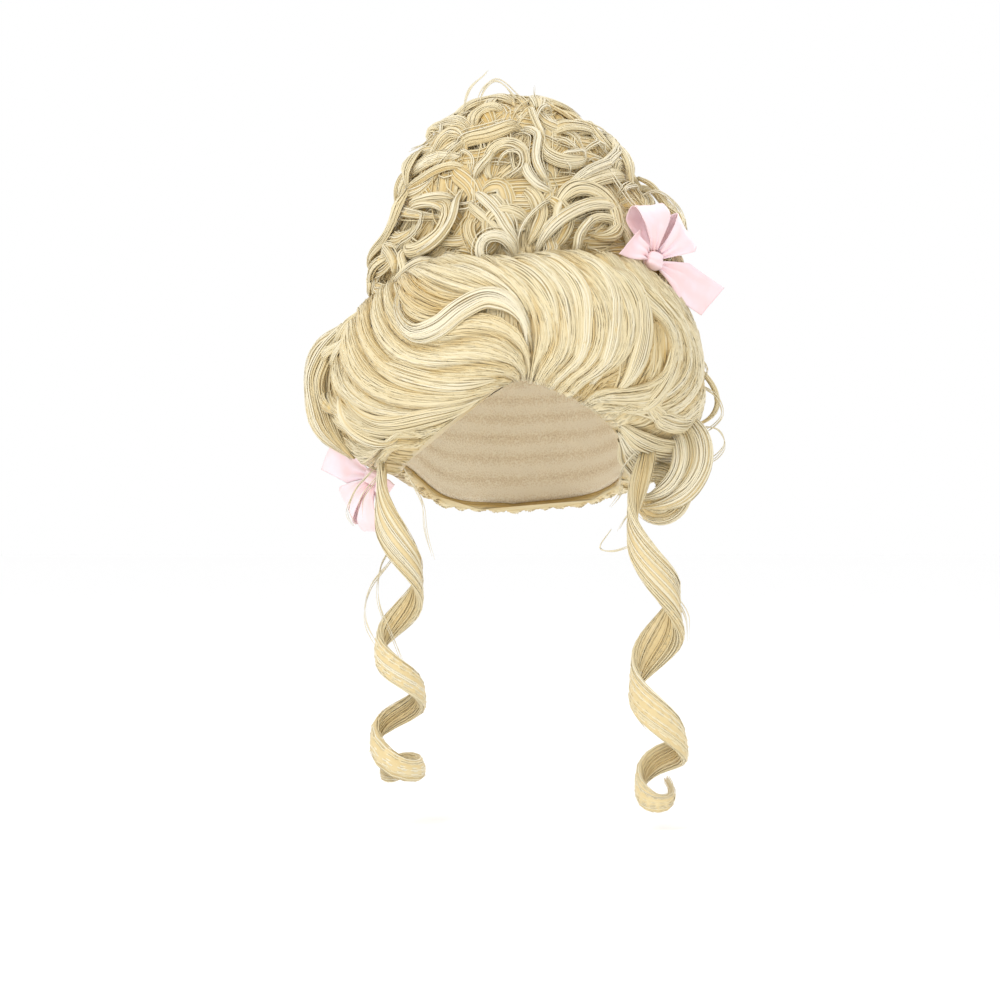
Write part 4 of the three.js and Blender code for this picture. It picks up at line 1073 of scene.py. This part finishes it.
# the arch: its line on the roll, its height, and rows of sideways shift, width, share of the height and
# shade; the rows lower on the arch are painted darker, as shade
SIDE_ROLL_LINE = [(-87, 0.78), (-91, 0.62), (-92, 0.45), (-88, 0.22)]
SIDE_ROLL_RISE = 14
SIDE_ROLL_ROWS = [
    (0, 16, 1.0, 0.9), (5, 13, 0.8, 0.86), (-5, 13, 0.85, 0.88), (1, 15, 0.62, 0.8), (-6, 13, 0.45, 0.78),
    (6, 13, 0.4, 0.76), (0, 15, 0.2, 0.72), (-2, 18, 0.06, 0.76), (4, 18, -0.1, 0.74),
]
t = np.linspace(0, 1, 40)
for shift, wide, up, tone in SIDE_ROLL_ROWS:
    spots = np.array(SIDE_ROLL_LINE, float)
    spots[:, 0] += shift * np.array([0.4, 1, 1, 0.4])
    arch = LOCK_CLEARANCE + 3 + up * SIDE_ROLL_RISE * np.sin(np.pi * t) ** 1.6
    path, out = surface_path(roll_point, spots, 40, arch)
    lock(side_roll, path, out, wide, 3.6, 16, shade=tone, around=True, steps=20, frizz=0.5, strand=1.4)

cheek = Piece("cheek_curl")
CHEEK_AZIMUTH, CHEEK_SHARE, CHEEK_RADIUS, CHEEK_DROP = 80, 0.13, 17, 5
middle = roll_point(CHEEK_AZIMUTH, CHEEK_SHARE) - np.array([0, 0, CHEEK_RADIUS + CHEEK_DROP + HANG_CLEARANCE])
facing = math.radians(CHEEK_AZIMUTH)
outwards = np.array([math.sin(facing), -math.cos(facing), 0])
along_head = np.cross(outwards, [0, 0, 1])
# coils of the barrel: shift along the head, size, width, shade, first angle, sweep
CHEEK_COILS = [
    (0, 1.0, 13, 0.8, 112, 290), (6, 0.9, 9, 0.74, 125, 270), (-6, 1.04, 10, 0.74, 112, 290),
    (9, 0.68, 8, 0.84, 150, 300), (11, 0.42, 7, 0.72, 100, 280), (2, 0.74, 10, 0.62, 60, 300),
    (5, 1.12, 7, 0.82, 60, 200),
]
s = np.linspace(0, 1, 40)
for shift, size, wide, tone, first, sweep in CHEEK_COILS:
    turn = np.radians(first - sweep * s)
    reach = CHEEK_RADIUS * size * (1 - 0.15 * s)
    path = middle + outwards * (reach * np.cos(turn))[:, None]
    path = path + np.array([0, 0, 1]) * (reach * np.sin(turn))[:, None] + along_head * shift
    lock(cheek, path, unit(path - middle - along_head * shift), wide, 3.4, 16, shade=tone, around=True,
         steps=20, frizz=0.4, strand=1.3, root=0.6, tip=0.4)
# bands down the barrel's front, on the front view: distance before its middle, width and shade
CHEEK_BANDS = [
    ([(690, 416), (703, 434), (706, 456), (700, 476), (687, 493), (667, 504), (642, 508)], 15, 12, 0.86),
    ([(668, 420), (680, 440), (681, 462), (672, 482), (657, 494), (636, 500)], 17, 9, 0.86),
    ([(680, 418), (693, 438), (695, 462), (685, 482), (669, 496), (646, 503)], 13, 12, 0.68),
]
for points, ahead, wide, tone in CHEEK_BANDS:
    x, z = seen(resample(points, 30))
    path = np.stack([x, middle[1] - ahead * ease(-0.2, 0.4, np.linspace(0, 1, 30)), z], 1)
    lock(cheek, path, np.broadcast_to([0.25, -1.0, 0.1], path.shape), wide, 3.4, 16, shade=tone, steps=18,
         root=0.8)

RINGLETS = {
    "ringlet_left": dict(azimuth=-68, share=0.12, length=200, lean=0, swing=(0.69, 1.06), phase=180,
                         turns=2.65, quicken=1.75, close=0.9, loop=1.15,
                         width=[0.8, 1.0, 0.84, 0.76, 0.72, 0.7]),
    "ringlet_right": dict(azimuth=66, share=0.12, length=218, lean=0.3, swing=(0.75, 1.0), phase=92,
                          turns=2.2, quicken=1.45, close=0.9, loop=1.0,
                          width=[0.78, 0.8, 0.95, 1.4, 1.05, 0.9, 0.85]),
}


RINGLET_RADIUS, RINGLET_WIDTH, RINGLET_FORWARD, LOOP_STEPS = 16, 18, -12, 26
# the bands of a ringlet: place across and away as shares of its width, width as a share, shade; the band set
# inwards is painted darker, as shade
RINGLET_BANDS = [(0, 0.8, 0.78, 0.84), (-0.25, 0, 0.6, 0.78), (0.25, 0, 0.6, 0.82), (0.0, -0.9, 0.75, 0.62)]


def ringlet(name, row):
    piece = Piece(name + "_hair")
    azimuth, share = np.float64(row["azimuth"]), np.float64(row["share"])
    top = roll_point(azimuth, share) + normal_of(roll_point, azimuth, share) * HANG_CLEARANCE
    s = np.linspace(0, row["close"], 74)
    turn = math.radians(row["phase"]) + 2 * np.pi * row["turns"] * s ** row["quicken"]
    narrow, wide = row["swing"]
    radius = RINGLET_RADIUS * (narrow + (wide - narrow) * s ** 2)
    # the tip closes in a tilted loop
    u = np.linspace(0, 1, LOOP_STEPS + 1)[1:]
    pitch = (s[-1] - s[-2]) / (turn[-1] - turn[-2])
    loop = row["loop"] * 2 * np.pi
    turn = np.r_[turn, turn[-1] + loop * u]
    radius = np.r_[radius, radius[-1] * (1 - 0.55 * u)]
    down = np.r_[s, s[-1] + pitch * loop * (u - 0.8 * u * u) * 0.8]
    s = np.r_[s, s[-1] + np.cumsum(np.full(LOOP_STEPS, loop / LOOP_STEPS * pitch))]
    share = np.linspace(0, 1, len(turn))
    coil = np.stack([radius * np.cos(turn), radius * np.sin(turn),
                     0.5 * ease(0.62, 0.8, share) * radius * np.sin(turn)], 1)
    foot = np.array([np.sign(top[0]) * row["lean"] * RINGLET_RADIUS, RINGLET_FORWARD, -row["length"]])
    path = top - coil[0] + foot * down[:, None] + coil
    out = unit(np.stack([np.cos(turn), np.sin(turn), np.full(len(turn), 0.15)], 1))
    _, side, out = frames(path, out)
    profile = np.interp(s, np.linspace(0, 1, len(row["width"])), row["width"]) * np.minimum(1, 0.6 + 3 * s)
    profile = profile * (1 - 0.5 * ease(0.74, 1, share))
    full = RINGLET_WIDTH * profile
    for across, away, part, tone in RINGLET_BANDS:
        middle = path + side * (across * full)[:, None] + out * (away + 0.4 * np.sin(9 * s))[:, None]
        lock(piece, middle, out, RINGLET_WIDTH * part, 2.7, 18, shade=tone, around=True, steps=56, strand=1.2,
             frizz=0.3, profile=profile * np.minimum(1, 0.12 + 9 * (1 - share)), twist=1.2, loose=0.05)
    return piece


ringlets = {name: ringlet(name, row) for name, row in RINGLETS.items()}

# Bows
RIBBON_WIDTH, RIBBON_THICKNESS, KNOT_WIDTH, KNOT_DEPTH = 25, 0.5, 13, 11
BOW_LOOP_LENGTH, BOW_LOOP_DEPTH, BOW_TAIL_LENGTH, BOW_TAIL_WAVE = 34, 14, 56, 2.4
BOWS = {
    "bow_right": dict(azimuth=55, share=0.93, over=0.68, facing=42, turn=(38, 100, -24, 156),
                      tails=(1, 0.45)),
    "bow_left": dict(azimuth=-96, share=0.12, over=0.62, facing=-55, turn=(217, 275, 164, 329),
                     tails=(1, 0.4)),
}
LOOP = [(0, -0.17), (0.3, -0.75), (0.72, -1), (1, -0.3), (1, 0.4), (0.72, 1), (0.3, 0.75), (0, 0.17)]
TAIL = [(0, 0), (0.25, 1), (0.6, 0.25), (1, 0.9)]


def bow_places(row, turn, local):
    """A ribbon's own places (along, across, away from the hair) in the wig's frame."""
    az, share = np.float64(row["azimuth"]), np.float64(row["share"])
    origin = roll_point(az, share) + normal_of(roll_point, az, share) * row["over"] * KNOT_DEPTH
    c, s_ = math.cos(math.radians(turn)), math.sin(math.radians(turn))
    x, y, z = local[..., 0] * c - local[..., 1] * s_, local[..., 0] * s_ + local[..., 1] * c, local[..., 2]
    f = math.radians(row["facing"])
    return origin + np.stack([x * math.cos(f) + z * math.sin(f), x * math.sin(f) - z * math.cos(f), y], -1)


def ribbon(name, row, turn, stations, length, depth, material):
    """A ribbon gathered at the knot, with two skins, and the area of its middle."""
    near = KNOT_WIDTH / 2 + SEAM
    path = resample([(near + (length - near) * x, depth * z) for x, z in stations], 48)
    step = np.gradient(path, axis=0)
    out2 = np.stack([-step[:, 1], step[:, 0]], 1)
    out2 /= np.linalg.norm(out2, axis=1, keepdims=True)
    width = np.minimum(RIBBON_WIDTH, 0.92 * path[:, 0])
    across = np.linspace(-1, 1, 21)
    far = np.clip((path[:, 0] - near) / (length - near), 0, 1)[:, None]
    phase = rng.uniform(0, 6, 4)
    pleat = 1.15 * np.exp(-2.6 * far) * np.sin(7.5 * across[None] + phase[0])
    buckle = 0.55 * np.sin(3.1 * far + 2.2 * across[None] + phase[1]) * far
    buckle = buckle + 0.3 * np.sin(9 * far + phase[2]) * far
    crease = 0.7 * np.exp(-((across[None] - 0.25 - 0.5 * far) / 0.12) ** 2) * np.exp(-1.2 * far)
    off = pleat + buckle - crease
    x = path[:, 0][:, None] + out2[:, 0][:, None] * off
    z = path[:, 1][:, None] + out2[:, 1][:, None] * off
    y = width[:, None] / 2 * across[None]
    if stations is TAIL:
        x = x + 5.5 * across[None] * ease(0.55, 1, far)
    middle = bow_places(row, turn, np.stack([x, y, z], -1))
    n, m = len(path), len(across)
    normal = unit(np.cross(np.gradient(middle, axis=0), np.gradient(middle, axis=1)))
    skins = [middle + normal * RIBBON_THICKNESS / 2, middle - normal * RIBBON_THICKNESS / 2]
    points = np.concatenate([k.reshape(-1, 3) for k in skins]) * MM
    faces, uvs = [], []
    along = np.r_[0, np.cumsum(np.linalg.norm(np.diff(path, axis=0), axis=1))]

    def at(skin, i, j):
        return skin * n * m + i * m + j

    for skin in (0, 1):
        for i in range(n - 1):
            for j in range(m - 1):
                quad = [(i, j), (i + 1, j), (i + 1, j + 1), (i, j + 1)]
                quad = quad[::-1] if skin else quad
                faces.append([at(skin, *q) for q in quad])
                uvs.append([(q[1], q[0], skin) for q in quad])
    rim = [(i, 0) for i in range(n)] + [(n - 1, j) for j in range(1, m)] \
        + [(i, m - 1) for i in range(n - 2, -1, -1)] + [(0, j) for j in range(m - 2, 0, -1)]
    for k, q in enumerate(rim):
        r = rim[(k + 1) % len(rim)]
        faces.append([at(0, *r), at(0, *q), at(1, *q), at(1, *r)])
        uvs.append([(r[1], r[0], 0), (q[1], q[0], 0), (q[1], q[0], 0), (r[1], r[0], 0)])
    loops = np.array(faces).ravel()
    uv = np.array(uvs, float).reshape(-1, 3)
    streak = np.stack([RIBBON_WIDTH * uv[:, 0] / (m - 1), along[uv[:, 1].astype(int)]], 1)
    cell = np.stack([(uv[:, 0] / (m - 1) * 0.46 + 0.02) + 0.5 * uv[:, 2], 0.01 + 0.98 * uv[:, 1] / (n - 1)],
                    1)
    # lighter where the ribbon bulges out and darker in its pleats and crease: painted shade
    shade = np.concatenate([(0.5 + 0.25 * off / 1.2).ravel()] * 2)
    obj = make_mesh(name, points, loops, np.full(len(faces), 4), material, shade, streak, cell)
    d1, d2 = np.diff(middle, axis=0)[:, :-1], np.diff(middle, axis=1)[:-1]
    area = np.linalg.norm(np.cross(d1, d2), axis=-1).sum() * MM * MM
    return obj, area, along[-1] * MM


def knot(name, row, material):
    piece = Piece(name)
    rise = np.linspace(-1, 1, 25)[:, None]
    turn = 2 * np.pi * np.arange(32) / 32
    r = np.sqrt(np.maximum(1 - np.abs(rise) ** 3.2, 0.02))
    fold = 1 + 0.035 * np.sin(4 * turn + 5 * rise) + 0.05 * np.sin(9 * rise + 1.5 * np.sin(turn))
    local = np.stack([KNOT_WIDTH / 2 * r * fold * np.cos(turn), 0.9 * KNOT_WIDTH / 2 * rise * np.ones(32),
                      KNOT_DEPTH / 2 * r * fold * np.sin(turn)], -1)
    piece.tubes(bow_places(row, row["turn"][0] - 55, local)[None][:, :, ::-1], np.full((1, 25, 32), 0.5),
                np.array([40.0]), np.array([18.0]))
    return piece.make(material)


# the ribbon's pink, running down to a peach for painted shade
SATIN_WITH_PAINTED_SHADE = [(0.0, (0.93, 0.6, 0.58)), (0.35, (0.95, 0.69, 0.7)), (0.7, (0.96, 0.76, 0.81)),
         (1.0, (0.96, 0.78, 0.88))]


def satin():
    material, nodes, links, bsdf = new_material("pink_satin")
    weft = streak_noise(nodes, links, (0.5, 7, 1), {"Scale": 1, "Detail": 2})
    soft = object_texture(nodes, links, "ShaderNodeTexNoise", {"Scale": 60}).outputs[0]
    paint(nodes, links, bsdf, math_node(nodes, links, "ADD", shade_value(nodes),
                                        centred(nodes, links, soft, 0.9)), SATIN_WITH_PAINTED_SHADE)
    emboss(nodes, links, bsdf, weft, 0.12, 0.0002)
    rough = math_node(nodes, links, "ADD", math_node(nodes, links, "MULTIPLY", weft, 0.12), 0.28)
    links.new(rough, bsdf.inputs["Roughness"])
    set_inputs(bsdf, {"Sheen Weight": 0.4, "Sheen Roughness": 0.3})
    return material


pink = satin()

# Cap
cap = Piece("net_cap")
azimuth = np.arange(96) * 3.75
edge = hairline_drop(azimuth) - CAP_SETBACK
rings = []
for share in np.linspace(0.0004, 1, 60):
    weft = 0.28 * (0.5 - 0.5 * np.cos(2 * np.pi * share * 15)) if share < 0.93 else 0.15
    rings.append(skull_point(azimuth, edge * share ** 1.6, 0.05 + weft))
for share in np.linspace(1, 0.0004, 24):
    rings.append(skull_point(azimuth, edge * share ** 1.6, CAP_WALL - 0.05))
weft_tone = np.r_[0.5 - 0.45 * np.cos(2 * np.pi * np.linspace(0.0004, 1, 60) * 15), np.full(24, 0.5)]
cap.tubes(np.stack(rings)[None], np.broadcast_to(weft_tone[None, :, None], (1, 84, 96)), np.array([500.0]),
          np.array([300.0]))


NET = [(0.2, (0.6, 0.47, 0.31)), (0.55, (0.8, 0.69, 0.51)), (0.9, (0.9, 0.82, 0.66))]


def net_material():
    material, nodes, links, bsdf = new_material("cap_net")
    holes = object_texture(nodes, links, "ShaderNodeTexVoronoi", {"Scale": 850}).outputs["Distance"]
    cloud = object_texture(nodes, links, "ShaderNodeTexNoise", {"Scale": 30}).outputs[0]
    mixed = math_node(nodes, links, "ADD", math_node(nodes, links, "MULTIPLY", holes, 0.7),
                      math_node(nodes, links, "MULTIPLY", cloud, 0.3))
    rows = math_node(nodes, links, "MULTIPLY", shade_value(nodes), 0.5)
    paint(nodes, links, bsdf, math_node(nodes, links, "ADD", mixed, rows), NET)
    emboss(nodes, links, bsdf, holes, 0.6, 0.0004)
    set_inputs(bsdf, {"Roughness": 0.85})
    return material


net = net_material()

# Loose strands
loose = Piece("loose_strands")


def wisp(points, y, count=3, width=0.8, spread=1.2, shade=0.95):
    """A few fine strands along a line given on the front view, at a distance y from the wig's axis."""
    x, z = seen(points)
    y = np.broadcast_to(np.asarray(y, float), x.shape)
    path = resample(np.stack([x, y, z], 1), 24)
    t = np.linspace(0, 1, 24)
    out = unit(np.cross(np.gradient(path, axis=0), [0.02, -0.3, 1.0]) + 1e-3)
    paths = np.stack([path + (rng.normal(0, spread, 3) * (0.25 + 0.75 * t[:, None]))
                      + 0.5 * np.sin(t[:, None] * rng.uniform(5, 9) + rng.uniform(0, 6,
                                                                                  3)) for _ in range(count)])
    strand_tubes(loose, paths, np.broadcast_to(out, paths.shape), np.full(count, width), shade, tip=0.3)


TOP_LOOPS = [
    ([(464, 112), (463, 99), (471, 80), (486, 64)], -22, 3), ([(479, 110), (479, 92), (485, 80), (495, 74),
                                                               (505, 79),
     (516, 92), (528, 104)], -20, 4), ([(505, 100), (520, 90), (542, 92), (557, 104), (556, 112)], -16, 4),
    ([(538, 108), (536, 92), (533, 76)], -5, 2), ([(560, 130), (575, 112), (598, 118), (612, 130)], -14, 3),
    ([(450, 130), (438, 122), (424, 134), (410, 142)], -8, 3), ([(425, 150), (412, 148), (404, 158),
                                                                 (402, 178)], -10, 3),
    ([(600, 150), (618, 142), (630, 156), (634, 172)], -12, 3), ([(640, 190), (662, 184), (684, 204),
                                                                  (692, 232)], -10, 5),
]
SIDE_LOOPS = (([(699, 360), (711, 371), (721, 386), (724, 402), (717, 415), (703, 423)], -2, 5.0, 0.84),
              ([(412, 172), (402, 164), (394, 176), (392, 196)], 0, 4.0, 0.76),
              ([(640, 168), (656, 176), (670, 194), (684, 214)], -4, 4.0, 0.78))
for points, y, width, tone in SIDE_LOOPS:
    x, z = seen(resample(points, 24))
    path = np.stack([x, np.full(24, float(y)), z], 1)
    out = np.cross(np.gradient(path, axis=0), [0, 1, 0])
    lock(loose, path, unit(out), width, 1.6, 10, shade=tone, steps=16, around=True, strand=1.0)
for points, y, count in TOP_LOOPS:
    wisp(points, y, count)
CHEEK_WISPS = [
    ([(636, 452), (622, 470), (620, 492), (610, 508)], -52, 3), ([(640, 456), (630, 482), (632, 505),
                                                                  (618, 530)], -48, 3),
    ([(612, 530), (600, 548), (616, 551), (640, 545)], -44, 2), ([(702, 380), (722, 392), (729, 412),
                                                                  (716, 428), (702, 432)], -6, 3),
    ([(703, 424), (724, 428), (731, 444), (720, 458), (704, 462)], -6, 3),
    ([(702, 350), (713, 366), (704, 388)], -4, 3), ([(404, 468), (420, 500), (424, 530), (432, 556)], -46, 3),
    ([(392, 560), (372, 588), (368, 622),
                                                                  (384, 652)], -44, 3),
    ([(396, 540), (380, 568), (378, 604), (392, 640), (404, 672)], -42, 3),
    ([(370, 470), (352, 490), (344, 512), (350, 526)], -30, 3), ([(380, 470), (362, 498), (358, 520)], -34,
                                                                 2),
    ([(646, 560), (668, 588), (684, 614), (686, 640)], -62, 3), ([(640, 670), (632, 700), (650, 730)], -66,
                                                                 3),
]
for points, y, count in CHEEK_WISPS:
    wisp(points, y, count, width=0.75)

# The scene's objects
def place(piece, nodes, material=hair):
    obj = piece.make(material) if isinstance(piece, Piece) else piece
    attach(obj, "root")
    if nodes:
        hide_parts(*nodes)
    return obj


place(front_left, ["front_wave_left", *FRONT_LOCKS_LEFT])
place(front_right, ["front_wave_right", *FRONT_LOCKS_RIGHT])
place(back, ["back_hair"])
place(tower, ["tower"])
for layer in fills:
    place(layer, ["tower"])
place(tower_front, ["tower"])
place(curls, ["tower_curl_%02d" % (i + 1) for i in range(17)])
place(crown, ["crown_lock_1", "crown_lock_2", "crown_lock_3"])
place(side_roll, ["side_roll_left"])
place(cheek, ["cheek_curl_right"])
for name, piece in ringlets.items():
    place(piece, [name])
place(loose, [])
place(cap, ["wig_cap"], material=net)
for name, row in BOWS.items():
    tied = place(knot(name + "_tied_knot", row, pink), [name + "_knot"])
    parts = [("loop_a", LOOP, BOW_LOOP_LENGTH, BOW_LOOP_DEPTH / 2), ("loop_b", LOOP, BOW_LOOP_LENGTH,
                                                                     BOW_LOOP_DEPTH / 2),
             ("tail_a", TAIL, BOW_TAIL_LENGTH * row["tails"][0], BOW_TAIL_WAVE),
             ("tail_b", TAIL, BOW_TAIL_LENGTH * row["tails"][1], BOW_TAIL_WAVE)]
    for (part, stations, length, depth), turn in zip(parts, row["turn"]):
        cloth, area, long = ribbon(f"{name}_ribbon_{part}", row, turn, stations, length, depth, pink)
        place(cloth, [f"{name}_{part}"])

# Stage
# in metres
FLOOR_LEVEL = -0.345
FLOOR_CORNERS = [(-6, -4), (6, -4), (6, 8), (-6, 8)]
VIEW_FROM = (-0.0093, -1.65, -0.1426)
VIEW_WIDTH, VIEW_DISTANCE, SENSOR = 0.62, 1.6, 36
floor_mesh = bpy.data.meshes.new("floor")
floor_mesh.from_pydata([(x, y, FLOOR_LEVEL) for x, y in FLOOR_CORNERS], [], [(0, 1, 2, 3)])
floor = bpy.data.objects.new("floor", floor_mesh)
bpy.context.scene.collection.objects.link(floor)
pale, _, _, bsdf = new_material("pale_floor")
set_inputs(bsdf, {"Base Color": (0.995, 0.995, 0.995, 1), "Roughness": 0.9})
floor_mesh.materials.append(pale)

bpy.context.scene.view_settings.view_transform = "Standard"
world = bpy.data.worlds.new("studio")
bpy.context.scene.world = world
world.use_nodes = True
set_inputs(world.node_tree.nodes["Background"], {"Color": (1, 1, 1, 1), "Strength": 1.0})


def area_light(name, place_at, aim, size, power):
    data = bpy.data.lights.new(name, "AREA")
    data.size, data.energy = size, power
    obj = bpy.data.objects.new(name, data)
    bpy.context.scene.collection.objects.link(obj)
    obj.location = place_at
    obj.rotation_euler = (Vector(aim) - Vector(place_at)).to_track_quat("-Z", "Y").to_euler()


area_light("key", (-0.7, -1.3, 0.9), (0, 0, -0.05), 0.7, 10)
area_light("rim", (0.9, 0.9, 0.9), (0, 0, 0), 0.9, 5)

camera_data = bpy.data.cameras.new("camera")
camera_data.sensor_width = SENSOR
camera_data.lens = SENSOR * VIEW_DISTANCE / VIEW_WIDTH
camera = bpy.data.objects.new("camera", camera_data)
bpy.context.scene.collection.objects.link(camera)
camera.location = VIEW_FROM
camera.rotation_euler = (math.pi / 2, 0, 0)
bpy.context.scene.camera = camera
